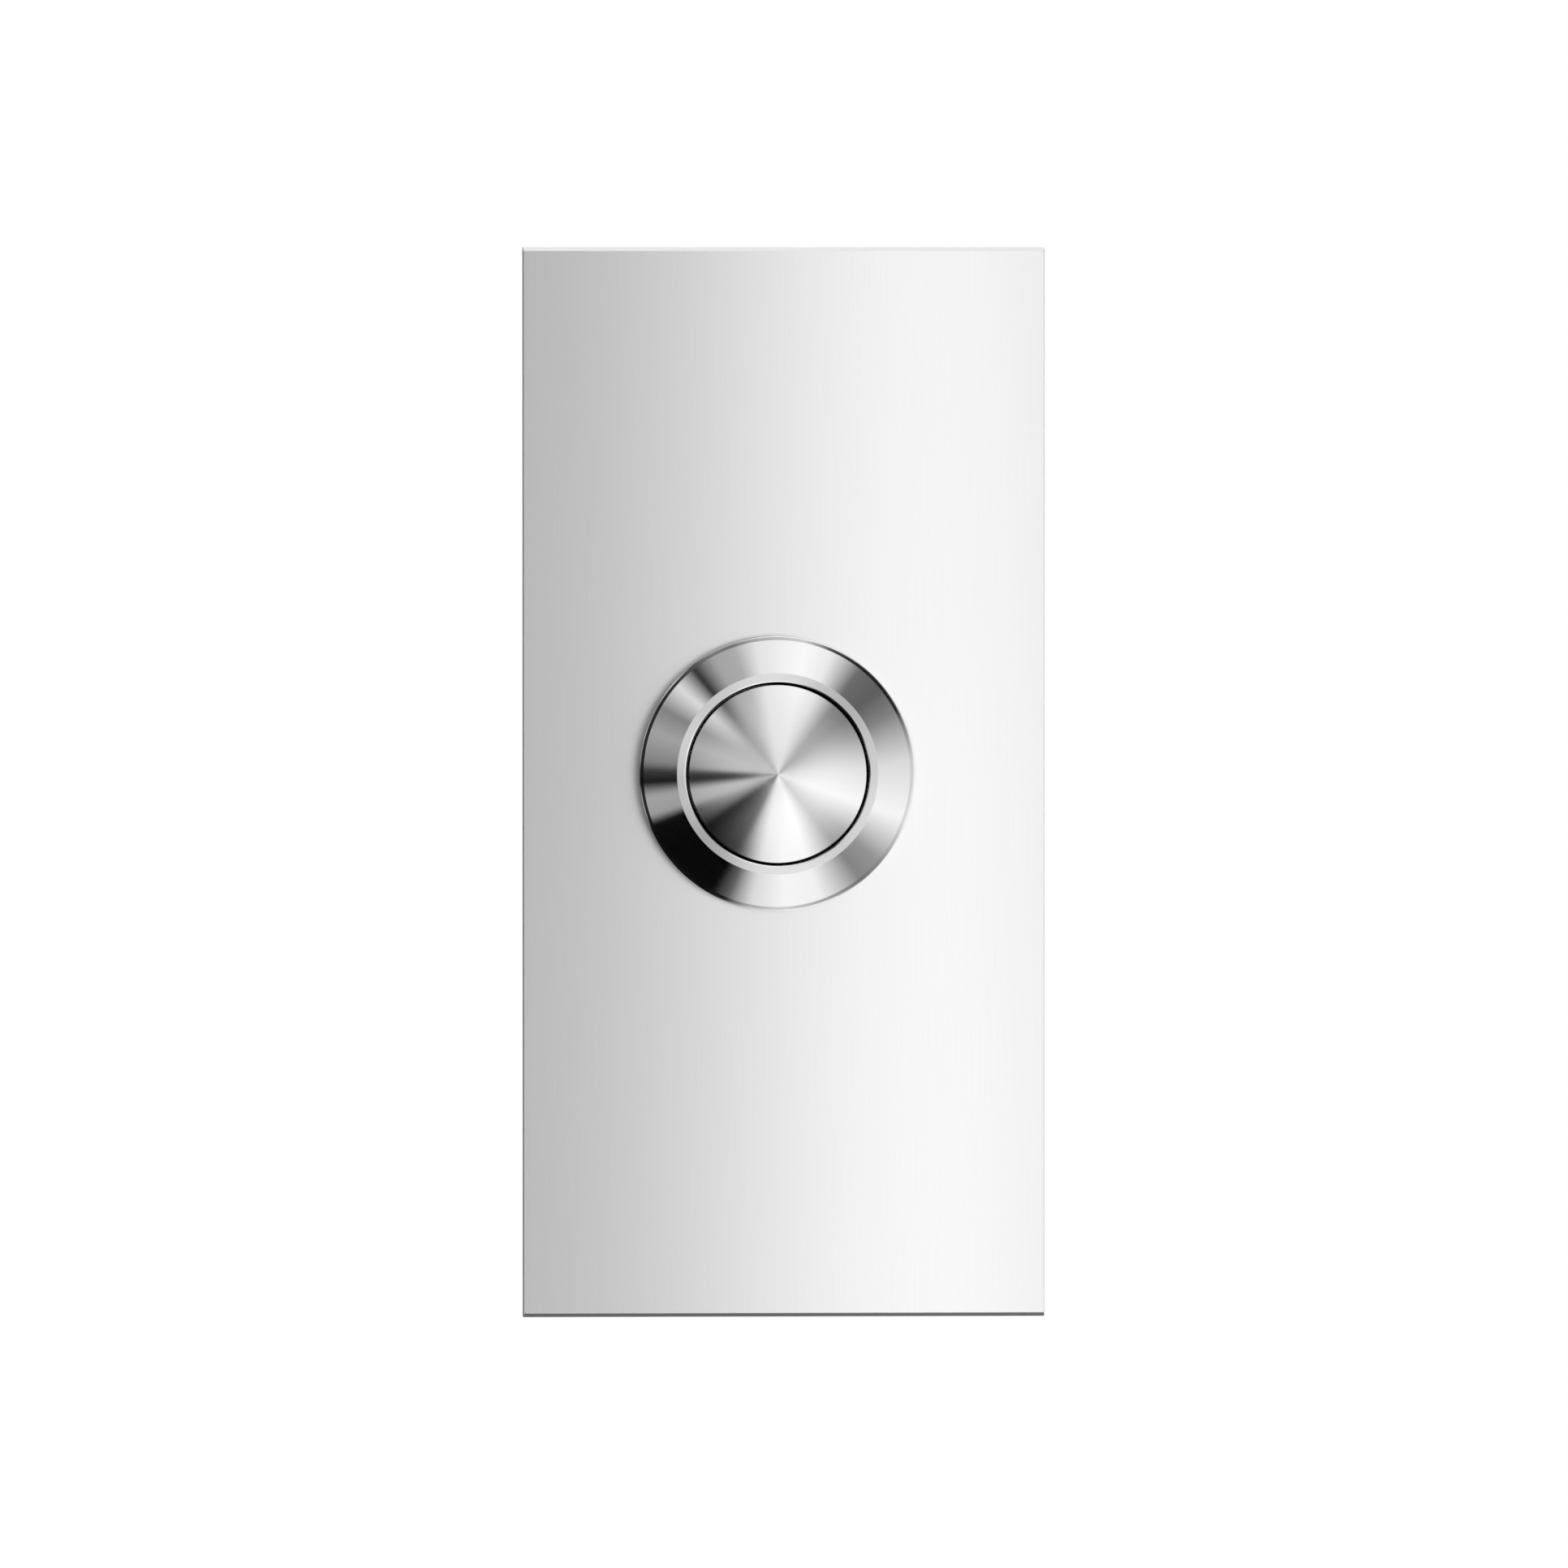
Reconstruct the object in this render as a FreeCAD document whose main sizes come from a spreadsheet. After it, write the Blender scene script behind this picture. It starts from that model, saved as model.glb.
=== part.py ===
import FreeCAD, Part
import math
import os
import re
import Sketcher

# Doorbell push button: a brushed steel face plate carries a turned steel push button.
# All sizes are millimetres.  The front looks along -Y, +Z is up, and the wall is the plane Y = 0.
# The origin is the button's axis where it meets the wall.
# The pieces of the button are drawn from the seat, the plane where its head lies on the plate,
# and are then placed together, so Y in their sketches is counted from that seat.

SIZES = {
    # Face plate
    "plate_width": 41.8,
    "plate_height": 85.7,
    "plate_thickness": 2.0,
    "plate_chamfer": 0.3,
    "plate_shift_right": 0.61,
    "plate_shift_down": 0.73,
    "plate_hole_gap": 0.1,
    # Sealing sheet between plate and wall
    "gasket_thickness": 1.0,
    "gasket_inset": 1.5,
    "gasket_corner_radius": 2.0,
    "gasket_nut_gap": 1.3,
    "gasket_stud_gap": 0.4,
    # Threaded studs welded to the back of the plate
    "stud_spacing": 60.0,
    "stud_radius": 2.0,
    "stud_length": 18.0,
    "stud_tip_chamfer": 0.5,
    "stud_flange_radius": 2.75,
    "stud_flange_thickness": 0.8,
    # Head of the button housing
    "head_overhang": 1.5,
    "head_height": 2.2,
    "rim_height": 0.4,
    "rim_top": 0.85,
    "rim_width": 0.31,
    "land_width": 0.75,
    "land_edge": 0.08,
    "bore_radius": 7.32,
    # Barrel of the button housing
    "barrel_wall": 1.7,
    "barrel_neck_depth": 0.3,
    "barrel_neck_length": 1.2,
    "barrel_end_chamfer": 0.6,
    "barrel_end_lip": 1.2,
    "web_front": 3.2,
    "web_thickness": 3.0,
    "base_ledge": 0.8,
    "ring_groove_depth": 0.5,
    # Seals
    "panel_seal_side": 0.35,
    "panel_seal_width": 0.7,
    "panel_seal_height": 0.7,
    "stem_seal_width": 0.9,
    "stem_seal_height": 0.9,
    "seal_lean": 0.08,
    # Push cap
    "travel": 1.5,
    "cap_gap": 0.2,
    "cap_thickness": 2.4,
    "cap_edge_break": 0.1,
    "dome_radius": 34.0,
    "tip_radius": 0.8,
    "tip_rise": 0.025,
    "hub_overhang": 0.8,
    "stem_radius": 3.0,
    "stem_tail": 1.2,
    "spigot_step": 1.5,
    "spigot_length": 1.5,
    "running_gap": 0.05,
    "fixed_gap": 0.02,
    # Retaining clip on the stem
    "clip_thickness": 0.6,
    "clip_groove_depth": 0.5,
    "clip_gap": 0.6,
    "clip_width": 1.0,
    "clip_lug_width": 1.6,
    "clip_mouth_width": 4.6,
    # Return spring
    "return_spring_gap": 0.65,
    "return_wire_radius": 0.25,
    "return_spring_turns": 2.5,
    # Plunger, contact spring and bridge
    "plunger_radius": 4.2,
    "plunger_height": 2.0,
    "plunger_chamfer": 0.3,
    "pin_radius": 1.2,
    "pin_head_overhang": 0.7,
    "pin_head_height": 0.6,
    "contact_spring_height": 2.9,
    "contact_spring_gap": 0.4,
    "contact_wire_radius": 0.15,
    "contact_spring_turns": 4.0,
    "bridge_thickness": 0.4,
    "bridge_side_width": 0.35,
    "bridge_end_margin": 1.3,
    "rivet_radius": 1.0,
    "rivet_height": 0.4,
    # Switch base and its retaining ring
    "base_gap": 0.05,
    "base_flange_thickness": 1.8,
    "base_boss_height": 5.2,
    "base_edge_chamfer": 0.3,
    "rib_thickness": 1.0,
    "rib_height": 2.5,
    "rib_inset": 0.7,
    "ring_thickness": 0.8,
    "ring_space": 1.5,
    "ring_width": 1.3,
    "ring_lug_radius": 0.85,
    "ring_lug_hole": 0.4,
    "ring_mouth_width": 4.0,
    # Fixed contacts and terminals
    "contact_pin_gap": 0.4,
    "contact_head_radius": 1.3,
    "contact_head_height": 0.4,
    "contact_neck_radius": 0.9,
    "contact_neck_length": 2.0,
    "post_radius": 1.9,
    "post_wall": 0.8,
    "post_proud": 0.2,
    "screw_radius": 1.25,
    "screw_length": 3.5,
    "screw_hole_extra": 0.5,
    "screw_head_radius": 2.2,
    "screw_head_height": 1.6,
    "screw_head_chamfer": 0.4,
    "screw_slot_width": 0.6,
    "screw_slot_depth": 0.7,
    "terminal_washer_overhang": 0.5,
    "terminal_washer_thickness": 0.5,
    "terminal_washer_gap": 0.1,
    # Lock washer and nut behind the plate
    "lock_washer_gap": 0.1,
    "lock_washer_width": 1.3,
    "lock_washer_thickness": 0.8,
    "tooth_count": 16.0,
    "tooth_length": 1.1,
    "tooth_width": 1.7,
    "tooth_sheet": 0.4,
    "nut_wall": 1.5,
    "nut_thickness": 3.0,
    "nut_corner_drop": 0.5,
    "nut_mouth_chamfer": 0.4,
}

# Sizes that follow from the ones above.
# The barrel is built up from its inside: contacts, posts, base and wall.
# Distances are counted behind the seat.
FOLLOWING = {
    "pin_head_radius": "pin_radius + pin_head_overhang",
    "contact_spring_radius": "pin_radius + contact_spring_gap + contact_wire_radius",
    "bridge_width": "2 * (pin_radius + running_gap + bridge_side_width)",
    "contact_spacing": "2 * (pin_head_radius + contact_pin_gap + contact_head_radius)",
    "bridge_half_length": "contact_spacing / 2 + bridge_end_margin",
    "base_boss_radius": "contact_spacing / 2 + post_radius + post_wall",
    "rib_half_width": "base_boss_radius - rib_inset",
    "base_bore_radius": "base_boss_radius + ring_space",
    "ring_groove_radius": "base_bore_radius + ring_groove_depth",
    "chamber_radius": "base_bore_radius - base_ledge",
    "terminal_washer_radius": "post_radius + terminal_washer_overhang",
    "barrel_radius": "base_bore_radius + barrel_wall",
    "head_radius": "barrel_radius + head_overhang",
    "land_radius": "bore_radius + land_width",
    "cap_radius": "bore_radius - cap_gap",
    "hub_radius": "stem_radius + hub_overhang",
    "spigot_radius": "stem_radius - spigot_step",
    "clip_groove_radius": "stem_radius - clip_groove_depth",
    "clip_inner_radius": "stem_radius + clip_gap",
    "clip_outer_radius": "clip_inner_radius + clip_width",
    "return_spring_radius": "hub_radius + return_spring_gap + return_wire_radius",
    "lock_washer_inner": "barrel_radius + lock_washer_gap",
    "lock_washer_outer": "lock_washer_inner + lock_washer_width",
    "nut_half_flat": "barrel_radius + nut_wall",
    "nut_corner_radius": "nut_half_flat / cos(30)",
    "seat": "-(gasket_thickness + plate_thickness)",
    "web_back": "web_front + web_thickness",
    "stem_seal_front": "web_front + web_thickness / 2 - stem_seal_height / 2",
    "cap_underside": "cap_thickness - head_height",
    "stem_end": "web_back + stem_tail",
    "boss_back": "stem_end + plunger_height",
    "bridge_front": "boss_back + contact_spring_height",
    "bridge_back": "bridge_front + bridge_thickness",
    "contact_face": "bridge_back + rivet_height + travel",
    "base_seat": "contact_face + contact_head_height",
    "flange_back": "base_seat + base_flange_thickness",
    "barrel_end": "flange_back + barrel_end_lip",
    "base_back": "flange_back + base_boss_height",
    "post_end": "base_back + post_proud",
    "washer_back": "post_end + terminal_washer_thickness",
    "nut_front": "plate_thickness + lock_washer_thickness",
}

# Sketch geometry names its own origin point and axes with these numbers
UPRIGHT_AXIS, LEVEL_AXIS = range(-2, 0)
ORIGIN = LEVEL_AXIS
START, END, CENTRE = range(1, 4)

# Directions of the corners of a spring wire's section, drawn with six sides because it is so thin
WIRE_CORNERS = (30, 90, 150, 210, 270, 330)

doc = FreeCAD.newDocument("doorbell_button")
sheet = doc.addObject("Spreadsheet::Sheet", "dims")


def fill_sheet():
    """One row for each size: its name, and its number or formula in a cell with that name as alias."""
    cells = {alias: str(number) for alias, number in SIZES.items()}
    cells.update({alias: "=" + text for alias, text in FOLLOWING.items()})
    for row, (alias, content) in enumerate(cells.items(), start=1):
        sheet.set("A%d" % row, alias.replace("_", " "))
        sheet.setAlias("B%d" % row, alias)
        sheet.set("B%d" % row, content)
    doc.recompute()


def formula(text):
    """The text as an expression, with the sheet's name before each size."""
    def named(word):
        known = word.group() in SIZES or word.group() in FOLLOWING
        return "dims." + word.group() if known else word.group()
    return re.sub("[a-z_]{3,}", named, text)


def number(text):
    """What an expression of sizes comes to, in millimetres."""
    return float(sheet.evalExpression(formula(text)))


# Sketches

def new_body(label, y="seat", x="0", z="0"):
    """An empty body with its label and a placement that follows the sizes."""
    body = doc.addObject("PartDesign::Body", label)
    body.Label = label
    for axis, size in (("x", x), ("y", y), ("z", z)):
        if size != "0":
            body.setExpression("Placement.Base." + axis, formula(size))
    return body


def new_sketch(body, name, plane, offset="0"):
    """A sketch on one of the body's own origin planes, moved along the plane's normal."""
    sketch = body.newObject("Sketcher::SketchObject", body.Label + "_" + name)
    support = [item for item in body.Origin.OriginFeatures if item.Role == plane][0]
    sketch.AttachmentSupport = (support, [""])
    sketch.MapMode = "FlatFace"
    if offset != "0":
        sketch.setExpression("AttachmentOffset.Base.z", formula(offset))
    return sketch


def measure(sketch, kind, where, size):
    """Adds one sized constraint, with its number already right, and ties it to the sheet."""
    index = sketch.addConstraint(Sketcher.Constraint(kind, *where, number(size)))
    sketch.setExpression("Constraints[%d]" % index, formula(size))


def hold(sketch, geometry, point, across, along):
    """Holds one point of a piece of geometry by its two distances from the sketch's origin."""
    for kind, axis, size in (("DistanceX", UPRIGHT_AXIS, across), ("DistanceY", LEVEL_AXIS, along)):
        if size == "0":
            sketch.addConstraint(Sketcher.Constraint("PointOnObject", geometry, point, axis))
        else:
            measure(sketch, kind, (ORIGIN, START, geometry, point), size)


def add_outline(sketch, corners):
    """A closed outline of straight edges through the corners, each given by two sizes."""
    first = sketch.GeometryCount
    points = [FreeCAD.Vector(number(across), number(along), 0) for across, along in corners]
    for point, following in zip(points, points[1:] + points[:1]):
        sketch.addGeometry(Part.LineSegment(point, following), False)
    edges = list(range(first, sketch.GeometryCount))
    for edge, following in zip(edges, edges[1:] + edges[:1]):
        sketch.addConstraint(Sketcher.Constraint("Coincident", edge, END, following, START))
    for edge, (across, along) in enumerate(corners):
        hold(sketch, first + edge, START, across, along)
    return first


def add_rectangle(sketch, left, right, low, high):
    """A rectangle given by its four sides."""
    return add_outline(sketch, [(left, low), (right, low), (right, high), (left, high)])


def add_circle(sketch, radius, across="0", along="0"):
    """A circle given by its radius and its centre."""
    centre = FreeCAD.Vector(number(across), number(along), 0)
    geometry = sketch.addGeometry(Part.Circle(centre, FreeCAD.Vector(0, 0, 1), number(radius)), False)
    hold(sketch, geometry, CENTRE, across, along)
    measure(sketch, "Radius", (geometry,), radius)
    return geometry


# Features

def revolve(body, name, corners):
    """Turns an outline of (radius, depth) corners about the body's Y axis."""
    sketch = new_sketch(body, name + "_profile", "XY_Plane")
    add_outline(sketch, corners)
    return turn_profile(body, name, sketch, "PartDesign::Revolution")


def turn_profile(body, name, sketch, kind):
    """A full turn of a sketch about the Y axis, adding or cutting."""
    feature = body.newObject(kind, body.Label + "_" + name)
    feature.Profile = sketch
    feature.ReferenceAxis = (sketch, ["V_Axis"])
    feature.Angle = 360.0
    sketch.Visibility = False
    doc.recompute()
    return feature


def turn_groove(body, name, low, high, inner, outer):
    """Turns a groove between two depths and two radii, and checks that it cuts."""
    before = body.Shape.Volume
    sketch = new_sketch(body, name + "_profile", "XY_Plane")
    add_rectangle(sketch, inner, outer, low, high)
    feature = turn_profile(body, name, sketch, "PartDesign::Groove")
    if not body.Shape.Volume < before:
        raise ValueError(body.Label + ": the groove " + name + " cuts nothing")
    return feature


def pad(body, name, sketch, length, backwards=False):
    """Pads a sketch by a length, against its normal when backwards."""
    feature = body.newObject("PartDesign::Pad", body.Label + "_" + name)
    feature.Profile = sketch
    feature.setExpression("Length", formula(length))
    feature.Reversed = backwards
    sketch.Visibility = False
    doc.recompute()
    return feature


def pocket(body, name, sketch, length=None, forwards=False):
    """Cuts a sketch out of the body, through everything or to a length, and checks that it cuts."""
    before = body.Shape.Volume
    feature = body.newObject("PartDesign::Pocket", body.Label + "_" + name)
    feature.Profile = sketch
    feature.Reversed = forwards
    if length is None:
        feature.Type = "ThroughAll"
        feature.Midplane = True
    else:
        feature.setExpression("Length", formula(length))
    sketch.Visibility = False
    doc.recompute()
    if not body.Shape.Volume < before:
        raise ValueError(body.Label + ": the pocket " + name + " cuts nothing")
    return feature


def edges_of(feature, wanted):
    """Names of the feature's edges that pass the test."""
    return ["Edge%d" % number for number, edge in enumerate(feature.Shape.Edges, start=1) if wanted(edge)]


def is_circle(edge):
    """Whether an edge is part of a circle; the point at a dome's tip is an edge with no curve."""
    return not edge.Degenerated and isinstance(edge.Curve, Part.Circle)


def circle_edge(feature, radius, depth):
    """Names of the full circles nearest to a radius and a depth along the Y axis."""
    def distance(edge):
        return abs(edge.Curve.Radius - number(radius)) + abs(edge.Curve.Center.y - number(depth))
    best = min(distance(edge) for edge in feature.Shape.Edges if is_circle(edge))
    return edges_of(feature, lambda edge: is_circle(edge) and distance(edge) < best + 1e-6)


def dress(body, kind, name, base, edges, property_name, size):
    """A fillet or chamfer of one size along edges of the last feature."""
    feature = body.newObject("PartDesign::" + kind, body.Label + "_" + name)
    feature.Base = (base, edges)
    feature.setExpression(property_name, formula(size))
    doc.recompute()
    return feature


def fillet(body, name, base, edges, radius):
    return dress(body, "Fillet", name, base, edges, "Radius", radius)


def chamfer(body, name, base, edges, size):
    return dress(body, "Chamfer", name, base, edges, "Size", size)


def polar_pattern(body, name, originals, count):
    """Repeats features evenly about the body's Y axis."""
    axis = [item for item in body.Origin.OriginFeatures if item.Role == "Y_Axis"][0]
    feature = body.newObject("PartDesign::PolarPattern", body.Label + "_" + name)
    feature.Originals = originals
    feature.Axis = (axis, [""])
    feature.Angle = 360.0
    feature.setExpression("Occurrences", formula(count))
    body.Tip = feature
    doc.recompute()
    return feature


# Wall side: plate, studs and sealing sheet

def make_face_plate():
    """Sheet steel plate with the button's hole and a light chamfer on its top and bottom edges."""
    body = new_body("face_plate", "-gasket_thickness", "plate_shift_right", "-plate_shift_down")
    sketch = new_sketch(body, "outline", "XZ_Plane")
    add_rectangle(sketch, "-plate_width / 2", "plate_width / 2", "-plate_height / 2", "plate_height / 2")
    pad(body, "sheet", sketch, "plate_thickness")
    hole = new_sketch(body, "hole", "XZ_Plane")
    add_circle(hole, "barrel_radius + plate_hole_gap", "-plate_shift_right", "plate_shift_down")
    drilled = pocket(body, "button_hole", hole)
    front = number("-plate_thickness")
    level = edges_of(drilled, lambda edge: len(edge.Vertexes) == 2
                     and abs(edge.CenterOfMass.y - front) < 1e-6
                     and abs(edge.Vertexes[0].Z - edge.Vertexes[1].Z) < 1e-6)
    chamfer(body, "edge_break", drilled, level, "plate_chamfer")


def make_stud(label, side):
    """Weld stud with a thin flange against the plate and a pointed tip."""
    body = new_body(label, "-gasket_thickness", "0", side + "stud_spacing / 2")
    revolve(body, "shank", [
        ("0", "0"),
        ("stud_flange_radius", "0"),
        ("stud_flange_radius", "stud_flange_thickness"),
        ("stud_radius", "stud_flange_thickness"),
        ("stud_radius", "stud_length - stud_tip_chamfer"),
        ("stud_radius - stud_tip_chamfer", "stud_length"),
        ("0", "stud_length"),
    ])


def make_wall_gasket():
    """Foam sheet behind the plate, open round the nut and the studs."""
    body = new_body("wall_gasket", "0", "plate_shift_right", "-plate_shift_down")
    half_width = "plate_width / 2 - gasket_inset"
    half_height = "plate_height / 2 - gasket_inset"
    sketch = new_sketch(body, "outline", "XZ_Plane")
    add_rectangle(sketch, "-(" + half_width + ")", half_width, "-(" + half_height + ")", half_height)
    sheet_pad = pad(body, "sheet", sketch, "gasket_thickness")
    upright = edges_of(sheet_pad, lambda edge: abs(edge.Vertexes[0].Y - edge.Vertexes[1].Y) > 1e-6)
    fillet(body, "corners", sheet_pad, upright, "gasket_corner_radius")
    openings = new_sketch(body, "openings", "XZ_Plane")
    left, up = "-plate_shift_right", "plate_shift_down"
    add_circle(openings, "nut_corner_radius + gasket_nut_gap", left, up)
    for side in ("+", "-"):
        height = up + side + "stud_spacing / 2"
        add_circle(openings, "stud_flange_radius + gasket_stud_gap", left, height)
    pocket(body, "clearance_holes", openings)


# Button housing and its seals

def make_button_housing():
    """Turned head and threaded barrel in one piece, bored from both ends with a web left between.

    The head rises from a steep rim along a straight bevel to a narrow flat land round the bore.
    """
    body = new_body("button_housing")
    turned = revolve(body, "turning", [
        ("bore_radius", "-head_height"),
        ("land_radius", "-head_height"),
        ("head_radius - rim_width", "-rim_top"),
        ("head_radius", "-rim_height"),
        ("head_radius", "0"),
        ("barrel_radius", "0"),
        ("barrel_radius", "barrel_end"),
        ("base_bore_radius", "barrel_end"),
        ("base_bore_radius", "base_seat"),
        ("chamber_radius", "base_seat"),
        ("chamber_radius", "web_back"),
        ("stem_radius + running_gap", "web_back"),
        ("stem_radius + running_gap", "web_front"),
        ("bore_radius", "web_front"),
    ])
    mouth = circle_edge(turned, "bore_radius", "-head_height")
    eased = chamfer(body, "mouth_edge", turned, mouth, "land_edge")
    tail = circle_edge(eased, "barrel_radius", "barrel_end")
    chamfer(body, "thread_start", eased, tail, "barrel_end_chamfer")
    turn_groove(body, "thread_relief", "0", "barrel_neck_length",
                "barrel_radius - barrel_neck_depth", "barrel_radius + barrel_neck_depth")
    turn_groove(body, "panel_seal_groove", "-panel_seal_height", "0",
                "barrel_radius + panel_seal_side",
                "barrel_radius + panel_seal_side + panel_seal_width + 2 * fixed_gap")
    turn_groove(body, "stem_seal_groove", "stem_seal_front", "stem_seal_front + stem_seal_height",
                "stem_radius", "stem_radius + running_gap + stem_seal_width + fixed_gap")
    turn_groove(body, "ring_groove", "flange_back", "flange_back + ring_thickness + running_gap",
                "chamber_radius", "ring_groove_radius")


def make_ring_seal(label, inner, outer, front, back):
    """Rubber ring in its groove, with a lip that is narrower than its foot."""
    body = new_body(label)
    revolve(body, "moulding", [
        (inner, front),
        (outer, front),
        (outer + " - seal_lean", back),
        (inner + " + seal_lean", back),
    ])


# Push cap, its clip and its return spring

def make_push_cap():
    """Turned cap: a shallow dome with a faint centre point, a stop hub, a stem and a spigot."""
    body = new_body("push_cap")
    sketch = new_sketch(body, "turning_profile", "XY_Plane")
    rim_edge = add_outline(sketch, [
        ("cap_radius", "-head_height"),
        ("cap_radius", "cap_underside"),
        ("hub_radius", "cap_underside"),
        ("hub_radius", "web_front - travel"),
        ("stem_radius", "web_front - travel"),
        ("stem_radius", "web_back"),
        ("clip_groove_radius", "web_back"),
        ("clip_groove_radius", "web_back + clip_thickness + running_gap"),
        ("stem_radius", "web_back + clip_thickness + running_gap"),
        ("stem_radius", "stem_end"),
        ("spigot_radius", "stem_end"),
        ("spigot_radius", "stem_end + spigot_length"),
        ("0", "stem_end + spigot_length"),
        ("0", "-head_height"),
    ])
    doc.recompute()
    flat_front = sketch.GeometryCount - 1
    sketch.toggleConstruction(flat_front)
    add_dome(sketch, rim_edge, flat_front)
    turned = turn_profile(body, "turning", sketch, "PartDesign::Revolution")
    edge = circle_edge(turned, "cap_radius", "-head_height")
    chamfer(body, "edge_break", turned, edge, "cap_edge_break")


def add_dome(sketch, rim_edge, flat_front):
    """Closes the cap's profile with an arc centred on the axis and a short slope to the tip."""
    edge_radius = number("cap_radius")
    face = number("-head_height")
    ball = number("dome_radius")
    centre = FreeCAD.Vector(0, face + math.sqrt(ball ** 2 - edge_radius ** 2), 0)
    rim = math.atan2(face - centre.y, edge_radius)
    inner = math.acos(number("tip_radius") / ball)
    circle = Part.Circle(centre, FreeCAD.Vector(0, 0, 1), ball)
    arc = sketch.addGeometry(Part.ArcOfCircle(circle, -inner, rim), False)
    shoulder = sketch.getPoint(arc, START)
    tip = FreeCAD.Vector(0, shoulder.y - number("tip_rise"), 0)
    slope = sketch.addGeometry(Part.LineSegment(tip, shoulder), False)
    axis_edge = sketch.addGeometry(Part.LineSegment(tip, FreeCAD.Vector(0, face, 0)), False)
    for kind, first, end, second, start in (
            ("Coincident", arc, END, rim_edge, START),
            ("Coincident", slope, END, arc, START),
            ("Coincident", axis_edge, START, slope, START),
            ("Coincident", axis_edge, END, flat_front, START)):
        sketch.addConstraint(Sketcher.Constraint(kind, first, end, second, start))
    sketch.addConstraint(Sketcher.Constraint("PointOnObject", arc, CENTRE, UPRIGHT_AXIS))
    sketch.addConstraint(Sketcher.Constraint("PointOnObject", slope, START, UPRIGHT_AXIS))
    measure(sketch, "Radius", (arc,), "dome_radius")
    measure(sketch, "DistanceX", (ORIGIN, START, arc, START), "tip_radius")
    measure(sketch, "DistanceY", (slope, START, slope, END), "tip_rise")


def make_retaining_clip():
    """Open spring clip: a ring with three lugs that reach into the stem's groove."""
    body = new_body("retaining_clip", "seat + web_back")
    ring = new_sketch(body, "ring", "XZ_Plane")
    add_circle(ring, "clip_outer_radius")
    add_circle(ring, "clip_inner_radius")
    pad(body, "ring_sheet", ring, "clip_thickness", backwards=True)
    for name, angle in (("left", 180), ("top", 90), ("right", 0)):
        lug = new_sketch(body, name + "_lug", "XZ_Plane")
        lug.AttachmentOffset = FreeCAD.Placement(
            FreeCAD.Vector(), FreeCAD.Rotation(FreeCAD.Vector(0, 0, 1), angle))
        add_rectangle(lug, "clip_groove_radius + fixed_gap", "(clip_inner_radius + clip_outer_radius) / 2",
                      "-clip_lug_width / 2", "clip_lug_width / 2")
        pad(body, name + "_lug_sheet", lug, "clip_thickness", backwards=True)
    mouth = new_sketch(body, "mouth", "XZ_Plane")
    add_rectangle(mouth, "-clip_mouth_width / 2", "clip_mouth_width / 2",
                  "-clip_outer_radius * 2", "-stem_radius / 2")
    pocket(body, "mouth_cut", mouth)


def make_spring(label, front, height, middle_radius, wire_radius, turns):
    """Wire wound on a helix, with both ends ground flat to the spring's height."""
    body = new_body(label, "seat + " + front)
    section = new_sketch(body, "wire", "XY_Plane")
    add_outline(section, [
        ("%s + %s * cos(%d)" % (middle_radius, wire_radius, angle), "%s * sin(%d)" % (wire_radius, angle))
        for angle in WIRE_CORNERS])
    doc.recompute()
    coil = body.newObject("PartDesign::AdditiveHelix", label + "_coil")
    coil.Profile = section
    coil.ReferenceAxis = (section, ["V_Axis"])
    coil.Mode = "height-turns-angle"
    coil.setExpression("Height", formula(height))
    coil.setExpression("Turns", formula(turns))
    coil.Angle = 0
    coil.Growth = 0
    section.Visibility = False
    doc.recompute()
    reach = "(" + middle_radius + " + 2 * " + wire_radius + ")"
    for name, low, high in (("front", "-4 * " + wire_radius, "0"),
                            ("back", height, height + " + 4 * " + wire_radius)):
        turn_groove(body, name + "_grinding", low, high, "0", reach)


# Plunger and moving contact

def make_plunger():
    """Moulded plunger: a boss on the stem's spigot and a headed pin that carries the bridge."""
    body = new_body("plunger")
    pin_end = "bridge_back + pin_head_height"
    turned = revolve(body, "moulding", [
        ("spigot_radius + fixed_gap", "stem_end"),
        ("plunger_radius", "stem_end"),
        ("plunger_radius", "boss_back"),
        ("pin_radius", "boss_back"),
        ("pin_radius", "bridge_back"),
        ("pin_head_radius", "bridge_back"),
        ("pin_radius", pin_end),
        ("0", pin_end),
        ("0", "stem_end + spigot_length + fixed_gap"),
        ("spigot_radius + fixed_gap", "stem_end + spigot_length + fixed_gap"),
    ])
    widest = max(edge.Curve.Radius for edge in turned.Shape.Edges if is_circle(edge))
    rims = edges_of(turned, lambda edge: is_circle(edge) and edge.Curve.Radius > widest - 1e-6)
    chamfer(body, "boss_edges", turned, rims, "plunger_chamfer")


def make_contact_bridge():
    """Strip with rounded ends that joins the two fixed contacts, with a hole for the plunger's pin."""
    body = new_body("contact_bridge", "seat + bridge_front")
    strip = new_sketch(body, "strip", "XZ_Plane")
    add_rectangle(strip, "-bridge_half_length", "bridge_half_length",
                  "-bridge_width / 2", "bridge_width / 2")
    sheet_pad = pad(body, "strip_sheet", strip, "bridge_thickness", backwards=True)
    corners = edges_of(sheet_pad, lambda edge: abs(edge.Vertexes[0].Y - edge.Vertexes[1].Y) > 1e-6)
    fillet(body, "rounded_ends", sheet_pad, corners, "bridge_end_margin")
    hole = new_sketch(body, "hole", "XZ_Plane")
    add_circle(hole, "pin_radius + running_gap")
    pocket(body, "pin_hole", hole)


def make_moving_contact(label, side):
    """Silver contact riveted under one end of the bridge, with a lightly crowned face."""
    body = new_body(label, "seat + bridge_back", side + "contact_spacing / 2")
    revolve(body, "button", [
        ("0", "0"),
        ("rivet_radius", "0"),
        ("rivet_radius", "rivet_height * 0.7"),
        ("rivet_radius * 0.75", "rivet_height"),
        ("0", "rivet_height"),
    ])


# Switch base with fixed contacts and terminals

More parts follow.
